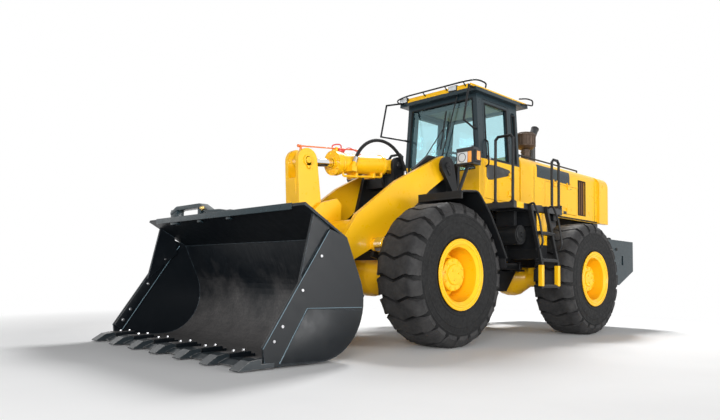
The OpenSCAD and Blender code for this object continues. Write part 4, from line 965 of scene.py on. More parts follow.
def make_linkage_pins():
    """Keepers on the pins of the bellcrank, the boom and the bucket, and the lift pin collars."""
    groups = (
        ("crank_keepers", "crank", ((1.160, 2.060, 0.126, -1.7, 0.05), (0.942, 0.563, 0.126, 1.9, 0.045))),
        ("boom_keepers", "boom_arms", ((1.058, 1.289, 0.170, 2.6, 0.058),)),
        ("bucket_keepers", "bucket", ((1.393, 0.397, 0.634, 2.2, 0.045), (1.481, 0.749, 0.110, 0.4, 0.042))),
        ("tower_keepers", "front_chassis", ((-0.690, 2.190, 0.650, -1.9, 0.06), (-0.810, 1.410, 0.760, 2.4, 0.045),
                                            (-0.335, 2.215, 0.116, 2.4, 0.045))),
    )
    for name, body, pins in groups:
        bm = bmesh.new()
        for x, z, y, turn, size in pins:
            for _, side in SIDES:
                keeper(bm, x, z, y, side, turn, size)
        finish = "chassis_black" if body == "front_chassis" else "yellow_enamel"
        if body == "bucket":
            finish = "bucket_enamel"
        piece(bm, name, body, finish)
    bm = bmesh.new()
    for _, side in SIDES:
        turned(bm, (0.510, side * 0.733, 1.130), (0, side, 0),
               [(0.082, 0.0), (0.082, 0.016), (0.074, 0.022), (0.064, 0.022), (0.064, 0.040), (0.054, 0.046),
                (0.012, 0.046), (0.010, 0.052), (0.0, 0.052)], 36)
        bolt_ring(bm, (0.510, side * 0.755, 1.130), (0, side, 0), 0.045, 3, 0.009)
    piece(bm, "lift_pin_collars", "lift_pistons", "yellow_enamel")


TILT_BASE, TILT_TOP = Vector((-0.335, 0, 2.215)), Vector((1.160, 0, 2.060))
TILT_ALONG = (TILT_TOP - TILT_BASE).normalized()
TILT_UP = Vector((-TILT_ALONG.z, 0, TILT_ALONG.x))
LIFT_BASE, LIFT_PIN = Vector((-0.810, 0, 1.410)), Vector((0.510, 0, 1.130))
LIFT_ALONG = (LIFT_PIN - LIFT_BASE).normalized()


def on_tilt(along, up=0.0, y=0.0):
    """A place on the tilt cylinder: along it from its base pin, above its axis and to its left."""
    return TILT_BASE + TILT_ALONG * along + TILT_UP * up + Vector((0, y, 0))


def gland(bm, place, direction, rod, radius, count, size):
    """Bolts round a cylinder's end face and the wiper ring round its rod."""
    bolt_ring(bm, place, direction, radius, count, size, 0.2)
    turned(bm, place, direction, [(rod + 0.005, -0.002), (rod + 0.005, 0.012), (rod + 0.012, 0.017),
                                  (rod + 0.022, 0.012), (rod + 0.022, -0.002), (rod + 0.005, -0.002)], 40)


def band(bm, place, direction, radius, width, proud=0.008):
    """A raised ring round a barrel or pipe."""
    turned(bm, place, direction, [(radius - 0.004, 0.0), (radius + proud * 0.6, 0.0), (radius + proud, proud * 0.5),
                                  (radius + proud, width - proud * 0.5), (radius + proud * 0.6, width),
                                  (radius - 0.004, width), (radius - 0.004, 0.0)], 40)


def make_cylinder_fittings():
    """Glands, weld bands, pipes and ports of the lift and tilt cylinders."""
    bm = bmesh.new()
    gland(bm, on_tilt(1.040), TILT_ALONG, 0.050, 0.120, 8, 0.014)
    band(bm, on_tilt(0.215), TILT_ALONG, 0.122, 0.050, 0.010)
    band(bm, on_tilt(0.925), TILT_ALONG, 0.122, 0.030, 0.016)
    # Pressure pipe under the barrel
    for y, near in ((0.062, 0.93), (-0.062, 0.34)):
        path = [on_tilt(along, up, y)
                for along, up in ((near, -0.09), (near, -0.158), (0.275, -0.158), (0.275, -0.100))]
        bent(bm, path, 0.05, 0.014, 12)
    for along in (0.42, 0.72):
        block(bm, on_tilt(along, -0.150) - Vector((0.020, 0.085, 0.026)),
              on_tilt(along, -0.150) + Vector((0.020, 0.085, 0.036)), 0.004)
    # Port on the gland and the guide of the position rod
    turned(bm, on_tilt(0.995, 0.138), TILT_UP,
           [(0.030, 0.0), (0.030, 0.022), (0.018, 0.028), (0.018, 0.040), (0.0, 0.040)], 20)
    block(bm, on_tilt(0.985, 0.135, 0.030) - Vector((0.014, 0.010, 0.0)),
          on_tilt(0.985, 0.135, 0.030) + Vector((0.014, 0.010, 0.055)), 0.003)
    piece(bm, "tilt_barrel_fittings", "tilt_cylinder", "yellow_enamel")

    bm = bmesh.new()
    block(bm, on_tilt(0.915, 0.145, 0.030) - Vector((0.045, 0.020, 0.012)),
          on_tilt(0.915, 0.145, 0.030) + Vector((0.045, 0.020, 0.030)), 0.005)
    tube(bm, smooth_path([on_tilt(0.87, 0.150, 0.030), on_tilt(0.80, 0.185, 0.050), on_tilt(0.70, 0.150, 0.070),
                          on_tilt(0.62, 0.112, 0.060)]), 0.007, 8)
    tube(bm, smooth_path([on_tilt(0.96, 0.150, -0.050), on_tilt(0.99, 0.215, -0.030), on_tilt(0.90, 0.225, 0.010),
                          on_tilt(0.84, 0.160, -0.040), on_tilt(0.78, 0.122, -0.030)]), 0.008, 8)
    piece(bm, "limit_switch", "tilt_cylinder", "warning_red")

    bm = bmesh.new()
    tube(bm, [on_tilt(1.565, 0.172, 0.030), on_tilt(1.2, 0.172, 0.030), on_tilt(0.62, 0.172, 0.030)], 0.009, 12)
    block(bm, on_tilt(1.535, 0.060, 0.030) - Vector((0.014, 0.006, 0.0)),
          on_tilt(1.535, 0.060, 0.030) + Vector((0.014, 0.006, 0.125)), 0.003)
    band(bm, on_tilt(1.545, 0.172, 0.030), TILT_ALONG, 0.009, 0.022, 0.009)
    piece(bm, "position_rod", "tilt_piston", "indicator_orange")

    bm = bmesh.new()
    for _, side in SIDES:
        middle = Vector((0, side * 0.680, 0))
        gland(bm, LIFT_BASE + LIFT_ALONG * 1.130 + middle, LIFT_ALONG, 0.044, 0.076, 8, 0.009)
        band(bm, LIFT_BASE + LIFT_ALONG * 0.10 + middle, LIFT_ALONG, 0.082, 0.036, 0.006)
        band(bm, LIFT_BASE + LIFT_ALONG * 0.98 + middle, LIFT_ALONG, 0.082, 0.024, 0.007)
        path = [LIFT_BASE + LIFT_ALONG * along + middle + Vector((0, -side * 0.05, up))
                for along, up in ((0.98, 0.05), (0.98, 0.102), (0.22, 0.102), (0.22, 0.05))]
        bent(bm, path, 0.04, 0.011, 10)
    piece(bm, "lift_barrel_fittings", "lift_cylinders", "yellow_enamel")


# Hoses


def make_tilt_hose():
    """Hose from the tower's saddle to the tilt cylinder, bending between them."""
    middle, bend, y = Vector((0.020, 0.148, 2.000)), 0.470, 0.148
    path = [middle + Vector((bend * math.cos(angle), 0, bend * math.sin(angle)))
            for angle in (math.radians(20 + 142 * step / 36) for step in range(37))]
    bm = bmesh.new()
    tube(bm, path, 0.021, 16)
    hose = piece(bm, "tilt_hose_bend", None, "hose_rubber", 50)
    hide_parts("tilt_hose")
    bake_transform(hose)
    bm = bmesh.new()
    foot = path[-1]
    turned(bm, (foot.x - 0.004, y, 2.068), (0, 0, 1), [(0.034, 0.0), (0.034, 0.016), (0.027, 0.020), (0.027, 0.060),
                                                       (0.024, 0.078), (0.0, 0.078)], 20)
    piece(bm, "hose_socket", "front_chassis", "bolt_steel")
    bm = bmesh.new()
    heading = (path[1] - path[0]).normalized()
    turned(bm, path[0] - heading * 0.03, heading, [(0.030, 0.0), (0.030, 0.020), (0.026, 0.024), (0.026, 0.070),
                                                   (0.023, 0.074), (0.0, 0.074)], 20)
    piece(bm, "hose_ferrule", "tilt_cylinder", "bolt_steel")


def make_pivot_hoses():
    """Hoses that cross the steering pivot."""
    for name, y, z, bulge in (("outer", 0.300, 1.060, 0.060), ("inner", 0.225, 1.090, 0.040),
                              ("right", -0.280, 1.060, -0.060)):
        bm = bmesh.new()
        path = smooth_path([(-1.905, y, z), (-1.840, y, z), (-1.700, y + bulge * 0.7, z + 0.030),
                            (-1.575, y + bulge, z + 0.045), (-1.450, y + bulge * 0.7, z + 0.030),
                            (-1.330, y, z), (-1.290, y, z)], 6)
        tube(bm, path, 0.017, 12)
        hose = piece(bm, f"{name}_pivot_hose", None, "hose_rubber", 50)
        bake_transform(hose)


# Fenders and lamps

FENDER_LINE = [(0.030, 1.730), (-0.270, 1.760), (-0.500, 1.540), (-0.706, 1.250), (-0.850, 1.020)]


def make_fender_trim():
    """Rolled edges, flaps and bolts of the front fenders."""
    bm = bmesh.new()
    for _, side in SIDES:
        path = [(0.026, side * 1.418, 1.648)] + [(x, side * 1.418, z - 0.004) for x, z in FENDER_LINE]
        bent(bm, path, 0.05, 0.010, 10)
        bent(bm, [(0.026, side * 0.795, 1.650), (0.026, side * 1.418, 1.650)], 0.02, 0.010, 10)
        for x, z in ((-0.10, 1.748), (-0.22, 1.760)):
            bolt(bm, (x, side * 0.84, z - 0.003), (0, 0, 1), 0.010)
        for x, z in ((-0.03, 1.065), (-0.05, 1.085), (-0.68, 1.105), (-0.68, 1.135)):
            bolt(bm, (x, side * 0.799, z), (0, side, 0), 0.010)
    done = set(bm.faces)
    for _, side in SIDES:
        flap = [(-0.842, 1.070), (-0.852, 1.070), (-0.876, 0.900), (-0.868, 0.900)]
        side_prism(bm, side, flap, 0.800, 1.400, 0.002)
    paint_new(bm, done, 1)
    piece(bm, "fender_trim", "front_chassis", ("chassis_black", "window_seal"))


def make_headlamps():
    """Lenses, bezels and bolts of the two headlamps."""
    bm = bmesh.new()
    for _, side in SIDES:
        low, high = sorted((side * 0.880, side * 1.122))
        rim_strip(bm, [(low, 2.160), (high, 2.160), (high, 2.320), (low, 2.320)], "x", -0.572, -0.556, 0.012)
        rim_strip(bm, [(-0.682, 2.192), (-0.588, 2.192), (-0.588, 2.318), (-0.682, 2.318)], "y",
                  side * 1.150, side * 1.162, 0.008)
        for z in (2.150, 2.136):
            bolt(bm, (-0.645, side * 0.965, z - 0.010), (0, 0, -1), 0.008)
    done = set(bm.faces)
    for _, side in SIDES:
        side_block(bm, side, (-0.576, 0.890, 2.170), (-0.560, 1.040, 2.310), 0.006)
    paint_new(bm, done, 1)
    for _, side in SIDES:
        turned(bm, (-0.562, side * 0.965, 2.240), (1, 0, 0),
               [(0.058, 0.0), (0.058, 0.005), (0.050, 0.005), (0.050, 0.0)], 32)
    done = set(bm.faces)
    for _, side in SIDES:
        side_block(bm, side, (-0.576, 1.046, 2.170), (-0.560, 1.114, 2.310), 0.006)
        side_block(bm, side, (-0.676, 1.140, 2.198), (-0.594, 1.159, 2.312), 0.006)
    paint_new(bm, done, 2)
    piece(bm, "headlamp_lenses", "front_chassis", ("lamp_housing", "clear_lens", "amber_lens"))


# Cab

FRONT_PANE = [(-0.612, 2.248), (0.612, 2.248), (0.612, 2.402), (0.552, 3.242), (-0.552, 3.242), (-0.612, 2.402)]
REAR_PANE = [(-0.612, 2.328), (0.612, 2.328), (0.612, 2.402), (0.552, 3.242), (-0.552, 3.242), (-0.612, 2.402)]

ROOF_LAMPS = (-0.615, 0.300)


def lean(z):
    """Half width of the cab at a height above its waist."""
    return 0.675 - 0.060 * max(0.0, z - WAIST_Z) / 0.900


def side_seal(bm, side, x0, x1, z0, z1, width):
    """A seal round a side window, leaning with the cab's wall."""
    before = set(bm.verts)
    rim_strip(bm, [(x0, z0), (x1, z0), (x1, z1), (x0, z1)], "y", -0.020, 0.006, width)
    for vert in set(bm.verts) - before:
        vert.co.y = side * (lean(vert.co.z) + vert.co.y)


def make_cab_seals():
    """Seals of the windscreen, the rear window and the quarter windows."""
    bm = bmesh.new()
    rim_strip(bm, FRONT_PANE, "x", -1.345, -1.313, 0.014)
    rim_strip(bm, REAR_PANE, "x", -2.306, -2.275, 0.016)
    for _, side in SIDES:
        side_seal(bm, side, -2.242, -2.138, 2.418, 3.152, 0.018)
    piece(bm, "cab_seals", "rear_chassis", "window_seal")
    for name, side in SIDES:
        bm = bmesh.new()
        side_seal(bm, side, -2.034, -1.486, 2.416, 3.194, 0.016)
        # Outer frame strip and the grip
        grip = [(-1.470, 0.668, 2.290), (-1.470, 0.725, 2.320), (-1.470, 0.705, 2.640), (-1.470, 0.655, 2.670)]
        bent(bm, side_path(side, grip), 0.03, 0.011, 10)
        done = set(bm.faces)
        side_prism(bm, side, [(-1.484, 1.975), (-1.484, 2.352), (-1.960, 2.352)], 0.668, 0.678, 0.002)
        paint_new(bm, done, 1)
        done = set(bm.faces)
        plate = [(-1.482, 2.300), (-1.500, 2.326), (-1.690, 2.340), (-2.020, 2.318), (-2.050, 2.300),
                 (-2.034, 2.252), (-1.980, 2.224), (-1.590, 2.126), (-1.520, 2.122), (-1.484, 2.160)]
        side_prism(bm, side, plate, 0.672, 0.686, 0.005)
        recess = [(-1.620, 2.180), (-1.620, 2.290), (-1.900, 2.290), (-1.900, 2.256)]
        side_prism(bm, side, recess, 0.684, 0.689, 0.003)
        paint_new(bm, done, 2)
        done = set(bm.faces)
        side_block(bm, side, (-1.560, 0.672, 2.395), (-1.495, 0.700, 2.425), 0.006)
        paint_new(bm, done, 3)
        piece(bm, f"{name}_door_trim", f"{name}_cab_door",
              ("window_seal", "cab_enamel", "lamp_housing", "bolt_steel"))


def make_cab_trim():
    """Wipers, roof guards, work lamps, visor and the inside of the cab."""
    bm = bmesh.new()
    tube(bm, [(-1.302, 0.114, 3.126), (-1.302, 0.066, 2.859), (-1.302, 0.017, 2.592)], 0.011, 8)
    bent(bm, [(-1.300, -0.353, 2.330), (-1.286, -0.330, 2.420), (-1.290, 0.066, 2.870)], 0.04, 0.008, 8)
    peg(bm, (-1.322, -0.353, 2.325), (-1.292, -0.353, 2.325), 0.020, 0.016)
    tube(bm, [(-1.300, 0.300, 3.292), (-1.300, 0.052, 2.500)], 0.009, 8)
    bent(bm, [(-1.300, 0.052, 2.500), (-1.296, -0.060, 2.330)], 0.02, 0.007, 8)
    # Wire guard round the roof's front and loops at its rear corners
    front = [(-1.420, -0.697, 3.375), (-1.330, -0.775, 3.385), (-1.165, -0.740, 3.405), (-1.150, -0.540, 3.430),
             (-1.150, 0.540, 3.430), (-1.165, 0.740, 3.420), (-1.330, 0.775, 3.395), (-1.420, 0.697, 3.375)]
    bent(bm, front, 0.09, 0.011, 10)
    for _, side in SIDES:
        loop = side_path(side, [(-2.268, 0.690, 3.400), (-2.400, 0.735, 3.425), (-2.560, 0.735, 3.430),
                                (-2.560, 0.735, 3.350), (-2.420, 0.735, 3.335), (-2.312, 0.690, 3.335)])
        bent(bm, loop, 0.06, 0.011, 10)
        for y in (0.20, 0.52):
            tube(bm, [(-1.225, side * y, 3.372), (-1.152, side * y, 3.428)], 0.008, 8)
    done = set(bm.faces)
    for y in ROOF_LAMPS:
        block(bm, (-1.255, y - 0.075, 3.352), (-1.195, y + 0.075, 3.429), 0.010)
        block(bm, (-1.245, y - 0.090, 3.362), (-1.215, y + 0.090, 3.400), 0.004)
    for y in (-0.420, 0.420):
        block(bm, (-2.492, y - 0.070, 3.300), (-2.440, y + 0.070, 3.372), 0.010)
    paint_new(bm, done, 1)
    done = set(bm.faces)
    for y in ROOF_LAMPS:
        block(bm, (-1.200, y - 0.066, 3.360), (-1.187, y + 0.066, 3.421), 0.006)
    for y in (-0.420, 0.420):
        block(bm, (-2.500, y - 0.060, 3.308), (-2.488, y + 0.060, 3.364), 0.006)
    paint_new(bm, done, 2)
    piece(bm, "cab_roof_trim", "rear_chassis", ("chassis_black", "lamp_housing", "clear_lens"))

    bm = bmesh.new()
    # Inside: lining, visor, side console with levers, dash and mat
    block(bm, (-2.230, -0.560, 3.262), (-1.390, 0.560, 3.290), 0.008)
    paint_new(bm, (), 1)
    block(bm, (-1.420, -0.430, 3.170), (-1.400, 0.430, 3.250), 0.008)
    block(bm, (-2.190, -0.520, 2.080), (-1.720, -0.300, 2.260), 0.020)
    block(bm, (-1.470, -0.560, 2.060), (-1.390, 0.560, 2.220), 0.020)
    block(bm, (-2.220, -0.600, 1.790), (-1.400, 0.600, 1.800), 0.004)
    block(bm, (-2.262, -0.590, 1.800), (-2.250, 0.590, 2.330), 0.004)
    block(bm, (-1.384, -0.590, 1.800), (-1.372, 0.590, 2.240), 0.004)
    for y in (-0.460, -0.370):
        peg(bm, (-1.810, y, 2.255), (-1.795, y, 2.400), 0.009, sides=10)
        turned(bm, (-1.796, y, 2.385), (0.1, 0, 1), [(0.010, 0.0), (0.022, 0.012), (0.026, 0.034), (0.020, 0.056),
                                                    (0.0, 0.062)], 16)
    for y in (-0.230, 0.230):
        block(bm, (-1.450, y - 0.045, 1.830), (-1.430, y + 0.045, 1.960), 0.006)
    piece(bm, "cab_interior", "rear_chassis", ("cabin_plastic", "roof_lining"))


# Driver's seat

STITCH_HALF = 0.016


def swell(shape, cap):
    """Blows a closed mesh up with a cloth simulation, each point kept within a distance of where it started."""
    scene = bpy.context.scene
    fine = shape.modifiers.new("fine", "REMESH")
    fine.mode, fine.voxel_size = "VOXEL", 0.006
    apply_modifiers(shape)
    start = [vert.co.copy() for vert in shape.data.vertices]
    cloth_made = shape.modifiers.new("stuffing", "CLOTH")
    cloth_made.settings.use_pressure = True
    cloth_made.settings.uniform_pressure_force = 4.0
    cloth_made.settings.effector_weights.gravity = 0.0
    for number in range(1, 21):
        scene.frame_set(number)
    graph = bpy.context.evaluated_depsgraph_get()
    moved = [vert.co.copy() for vert in shape.evaluated_get(graph).data.vertices]
    shape.modifiers.remove(cloth_made)
    scene.frame_set(1)
    for vert, before, after in zip(shape.data.vertices, start, moved):
        step = after - before
        vert.co = before + step * min(1.0, cap / max(step.length, 1e-9))


def apply_modifiers(shape):
    graph = bpy.context.evaluated_depsgraph_get()
    made = bpy.data.meshes.new_from_object(shape.evaluated_get(graph))
    shape.modifiers.clear()
    old, shape.data = shape.data, made
    bpy.data.meshes.remove(old)


def cushion(name, bm, lines, along, cap, depth):
    """A padded piece: swollen, then drawn in along its sewn lines across one direction."""
    made = piece(bm, name, "rear_chassis", "seat_cloth", 60)
    swell(made, cap)
    for vert in made.data.vertices:
        for line in lines:
            off = abs(vert.co[along] - line)
            if off < STITCH_HALF:
                inward = 0.5 + 0.5 * math.cos(math.pi * off / STITCH_HALF)
                vert.co -= vert.normal * depth * inward
    made.data.shade_smooth()
    return made


def make_seat():
    """Sprung base, two padded cushions, head rest and arm rests."""
    bm = bmesh.new()
    block(bm, (-2.200, -0.235, 2.105), (-1.735, 0.235, 2.205), 0.030)
    bmesh.ops.subdivide_edges(bm, edges=bm.edges, cuts=2, use_grid_fill=True)
    pad = cushion("seat_cushion", bm, (-0.130, 0.130), 1, 0.016, 0.008)
    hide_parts("seat")
    bm = bmesh.new()
    prism(bm, [(-2.195, 2.245), (-2.115, 2.245), (-2.170, 2.640), (-2.235, 2.640)], "y", -0.225, 0.225, 0.024)
    cushion("seat_back", bm, (-0.125, 0.125), 1, 0.016, 0.008)
    bm = bmesh.new()
    prism(bm, [(-2.245, 2.675), (-2.185, 2.675), (-2.200, 2.825), (-2.245, 2.825)], "y", -0.130, 0.130, 0.020)
    cushion("head_rest", bm, (), 1, 0.010, 0.0)
    bm = bmesh.new()
    block(bm, (-2.120, -0.165, 1.792), (-1.820, 0.165, 1.860), 0.010)
    for level in range(5):
        z = 1.868 + level * 0.038
        block(bm, (-2.100 - 0.012 * (level % 2), -0.150, z), (-1.840 + 0.012 * (level % 2), 0.150, z + 0.034), 0.012)
    block(bm, (-2.190, -0.225, 2.066), (-1.750, 0.225, 2.100), 0.010)
    for _, side in SIDES:
        peg(bm, (-2.208, side * 0.060, 2.620), (-2.215, side * 0.060, 2.690), 0.008, sides=10)
        side_block(bm, side, (-2.120, 0.252, 2.330), (-1.880, 0.300, 2.372), 0.014)
        arm = [(-2.150, 0.240, 2.260), (-2.130, 0.276, 2.335), (-2.080, 0.276, 2.345)]
        bent(bm, side_path(side, arm), 0.03, 0.012, 10)
    piece(bm, "seat_stand", "rear_chassis", "cabin_plastic")


# Hood


def hood_strip(low, high, proud, side, inner=-0.002):
    """Section of a strip that hugs the hood's side and its rounded upper edge."""
    def edge(grow):
        points = []
        for step in range(9):
            z = low + (high - low) * step / 8
            over = max(0.0, z - HOOD_EDGE_Z)
            y = HOOD_HALF - HOOD_EDGE_R + math.sqrt(HOOD_EDGE_R ** 2 - over * over)
            slant = over / HOOD_EDGE_R
            points.append((side * (y + grow * math.sqrt(1 - slant * slant)), z + grow * slant))
        return points

    return edge(proud) + edge(inner)[::-1]


def make_hood_trim():
    """Side stripes, seams, mesh inserts, latches and hinge covers of the hood."""
    bm = bmesh.new()
    for _, side in SIDES:
        prism(bm, hood_strip(2.318, 2.510, 0.004, side), "x", -3.760, -2.770)
    piece(bm, "hood_stripes", "rear_chassis", "slate_enamel")

    bm = bmesh.new()
    for _, side in SIDES:
        for x in (-2.690, -4.620):
            prism(bm, hood_strip(1.775, 2.560, 0.0015, side), "x", x - 0.004, x + 0.004)
        prism(bm, hood_strip(1.765, 1.790, 0.006, side), "x", -4.740, -2.340)
        rim_strip(bm, [(-4.302, 1.848), (-4.038, 1.848), (-4.038, 2.432), (-4.302, 2.432)], "y",
                  side * 0.670, side * 0.684, 0.016)
        for step in range(3):
            x = -4.230 + step * 0.060
            tube(bm, [(x, side * 0.664, 1.856), (x, side * 0.664, 2.424)], 0.006, 8)
    done = set(bm.faces)
    for _, side in SIDES:
        side_block(bm, side, (-4.292, 0.648, 1.858), (-4.048, 0.658, 2.422), 0.002)
    paint_new(bm, done, 1)
    piece(bm, "hood_seams", "rear_chassis", ("window_seal", "mesh_screen"))

    for name, side in SIDES:
        bm = bmesh.new()
        side_block(bm, side, (-3.672, 0.667, 1.835), (-3.568, 0.682, 1.879), 0.005)
        peg(bm, (-3.620, side * 0.680, 1.857), (-3.620, side * 0.687, 1.857), 0.012, sides=16)
        for x in (-3.750, -3.340):
            side_block(bm, side, (x - 0.060, 0.679, 2.240), (x + 0.060, 0.690, 2.256), 0.003)
        piece(bm, f"{name}_engine_door_latch", f"{name}_engine_door", "lamp_housing")


def make_stacks():
    """Bands on the exhaust and the bowl and cap of the air pre-cleaner."""
    bm = bmesh.new()
    x = -3.560
    for z in (2.612, 2.700, 3.060):
        band(bm, (x, 0.110, z), (0, 0, 1), 0.062, 0.024, 0.008)
    for z in (2.612, 2.700):
        bolt(bm, (x + 0.074, 0.110, z + 0.012), (1, 0, 0), 0.008)
    bolt_ring(bm, (x, 0.110, 2.604), (0, 0, 1), 0.092, 6, 0.009)
    tip = Vector((x - 0.110, 0.110, 3.310))
    heading = Vector((-0.110, 0.0, 0.180)).normalized()
    turned(bm, tip - heading * 0.020, heading,
           [(0.058, 0.0), (0.066, 0.0), (0.066, 0.024), (0.056, 0.024), (0.054, -0.060), (0.0, -0.060)], 32)
    piece(bm, "exhaust_bands", "rear_chassis", "lamp_housing")

    bm = bmesh.new()
    base = Vector((-3.020, 0.330, 2.590))
    for z in (0.110, 0.180):
        band(bm, base + Vector((0, 0, z)), (0, 0, 1), 0.068, 0.022, 0.007)
    band(bm, base + Vector((0, 0, 0.276)), (0, 0, 1), 0.149, 0.020, 0.008)
    band(bm, base + Vector((0, 0, 0.440)), (0, 0, 1), 0.149, 0.024, 0.008)
    for index in range(18):
        angle = 2 * math.pi * index / 18
        out = Vector((math.cos(angle), math.sin(angle), 0))
        tube(bm, [base + out * 0.151 + Vector((0, 0, 0.300)), base + out * 0.151 + Vector((0, 0, 0.438))], 0.006, 6)
    turned(bm, base, (0, 0, 1),
           [(0.130, 0.480), (0.126, 0.492), (0.070, 0.502), (0.030, 0.504), (0.028, 0.516), (0.0, 0.516)], 32)
    piece(bm, "precleaner_cage", "rear_chassis", "browned_steel")


# Rear end


def make_rear_trim():
    """Tail lamps, lifting rings, bumper bolts and the grille's mesh."""
    bm = bmesh.new()
    for _, side in SIDES:
        side_block(bm, side, (-5.268, 0.640, 1.240), (-5.255, 0.920, 1.360), 0.006)
        for x in (-4.350, -4.950):
            ring = [(x + along, side * 0.780, z)
                    for along, z in ((-0.060, 1.440), (-0.060, 1.520), (0.060, 1.520), (0.060, 1.440))]
            bent(bm, ring, 0.05, 0.014, 10)
        for x in (-4.250, -4.450):
            bolt(bm, (x, side * 1.128, 1.300), (0, side, 0), 0.020)
            bolt(bm, (x, side * 1.128, 0.860), (0, side, 0), 0.020)
    done = set(bm.faces)
    for _, side in SIDES:
        side_block(bm, side, (-5.276, 0.655, 1.255), (-5.262, 0.780, 1.345), 0.005)
    paint_new(bm, done, 1)
    done = set(bm.faces)
    for _, side in SIDES:
        side_block(bm, side, (-5.276, 0.790, 1.255), (-5.262, 0.905, 1.345), 0.005)
    paint_new(bm, done, 2)
    piece(bm, "counterweight_trim", "rear_chassis", ("chassis_black", "red_lens", "amber_lens"))

    bm = bmesh.new()
    block(bm, (-5.112, -0.500, 1.880), (-5.106, 0.500, 2.370), 0.001)
    done = set(bm.faces)
    block(bm, (-5.152, 0.470, 2.050), (-5.138, 0.520, 2.170), 0.005)
    grip = [(-5.140, -0.120, 2.396), (-5.170, -0.110, 2.396), (-5.170, 0.110, 2.396), (-5.140, 0.120, 2.396)]
    bent(bm, grip, 0.02, 0.009, 10)
    paint_new(bm, done, 1)
    piece(bm, "grille_mesh", "grille_door", ("mesh_screen", "chassis_black"))


# Platforms


def make_platform_trim():
    """Step treads, rail covers, grips, deck corners, tank covers and caps."""
    bm = bmesh.new()
    for _, side in SIDES:
        for y0, y1, z in ((1.205, 1.315, 1.400), (1.235, 1.355, 1.040), (1.235, 1.355, 0.700)):
            side_block(bm, side, (-2.155, y0, z - 0.002), (-1.795, y1, z + 0.006), 0.002)
            for x in [-2.135 + 0.032 * step for step in range(11)]:
                side_block(bm, side, (x - 0.006, y0 + 0.010, z + 0.004), (x + 0.006, y1 - 0.010, z + 0.014), 0.002)
    piece(bm, "step_treads", "rear_chassis", "deck_plate")

    bm = bmesh.new()
    for _, side in SIDES:
        for x in (-1.770, -2.180):
            side_block(bm, side, (x - 0.028, 1.310, 0.690), (x + 0.028, 1.370, 0.965), 0.006)
        side_block(bm, side, (-1.645, 1.120, 1.706), (-1.485, 1.158, 1.788), 0.006)
        side_block(bm, side, (-2.296, 1.106, 1.250), (-2.036, 1.122, 1.690), 0.012)
        for x in (-2.270, -2.062):
            for z in (1.280, 1.660):
                bolt(bm, (x, side * 1.120, z), (0, side, 0), 0.008)
    piece(bm, "yellow_covers", "rear_chassis", "yellow_enamel")

    bm = bmesh.new()
    for _, side in SIDES:
        for x in (-1.730, -2.220):
            path = side_path(side, [(x, 1.175, 1.760), (x, 1.250, 1.790), (x, 1.330, 1.600), (x, 1.390, 1.250),
                                    (x, 1.345, 1.180)])
            bent(bm, path, 0.08, 0.014, 10)
        turned(bm, (-1.780, side * 0.940, 1.370), (0, side, 0),
               [(0.112, 0.060), (0.112, 0.095), (0.100, 0.102), (0.040, 0.102), (0.036, 0.116), (0.0, 0.116)], 32)
        turned(bm, (-2.420, side * 0.900, DECK_Z), (0, 0, 1),
               [(0.060, 0.0), (0.060, 0.030), (0.066, 0.034), (0.066, 0.052), (0.058, 0.058), (0.0, 0.058)], 28)
        for foot_x, foot_y in ((-1.440, 1.120), (-1.440, 0.850), (-2.620, 1.120), (-2.430, 1.120)):
            turned(bm, (foot_x, side * foot_y, DECK_Z), (0, 0, 1),
                   [(0.042, 0.0), (0.042, 0.010), (0.026, 0.016), (0.020, 0.030), (0.018, 0.030)], 20)
    piece(bm, "ladder_grips", "rear_chassis", "chassis_black")


# Driveline


def make_driveline():
    """Drive shafts with their joints, axle bolts and drain plugs."""
    groups = (("rear_driveline", "rear_chassis", ((-2.678, -2.430), (-2.010, -1.665)), -3.150),
              ("front_driveline", "front_chassis", ((-1.485, -0.500),), 0.0))
    for name, body, shafts, axle in groups:
        bm = bmesh.new()
        for start, end in shafts:
            z0, z1 = (SHAFT_Z, SHAFT_Z) if start < -2.4 else (0.900, SHAFT_Z if end > -1.0 else 0.895)
            first, last = Vector((start, 0, z0)), Vector((end, 0, z1))
            heading = (last - first).normalized()
            peg(bm, first, last, 0.045, sides=24)
            for place, way in ((first, 1), (last, -1)):
                turned(bm, place, heading * way,
                       [(0.0, 0.0), (0.085, 0.0), (0.085, 0.016), (0.060, 0.022), (0.054, 0.070), (0.044, 0.090)], 28)
                bolt_ring(bm, place + heading * way * 0.016, heading * way, 0.072, 6, 0.008)
        for _, side in SIDES:
            for x in (axle - 0.130, axle + 0.130):
                bolt(bm, (x, side * 0.405, 0.930), (0, -side, 0), 0.014)
            bolt_ring(bm, (axle, side * 0.612, SHAFT_Z), (0, -side, 0), 0.205, 16, 0.010)
        piece(bm, name, body, "casting_grey")


# Stage

FLOOR_FADE = (5.0, 7.5)
PHOTO_SIZE, PHOTO_AXIS = (720, 420), (369.07, 232.57)
CAMERA_PLACE, CAMERA_TURN = (5.478, 5.584, 0.735), (225.87, 4.29, 1.138)
SENSOR_WIDTH, FOCAL_LENGTH = 36.0, 31.115


def seen_directly(tree):
    """One for what the camera, a reflection or glass sees, nought for what lights the machine."""
    path = tree.nodes.new("ShaderNodeLightPath")
    seen = math_node(tree, "MAXIMUM", path.outputs["Is Camera Ray"], path.outputs["Is Transmission Ray"])
    return math_node(tree, "MAXIMUM", seen, path.outputs["Is Glossy Ray"])


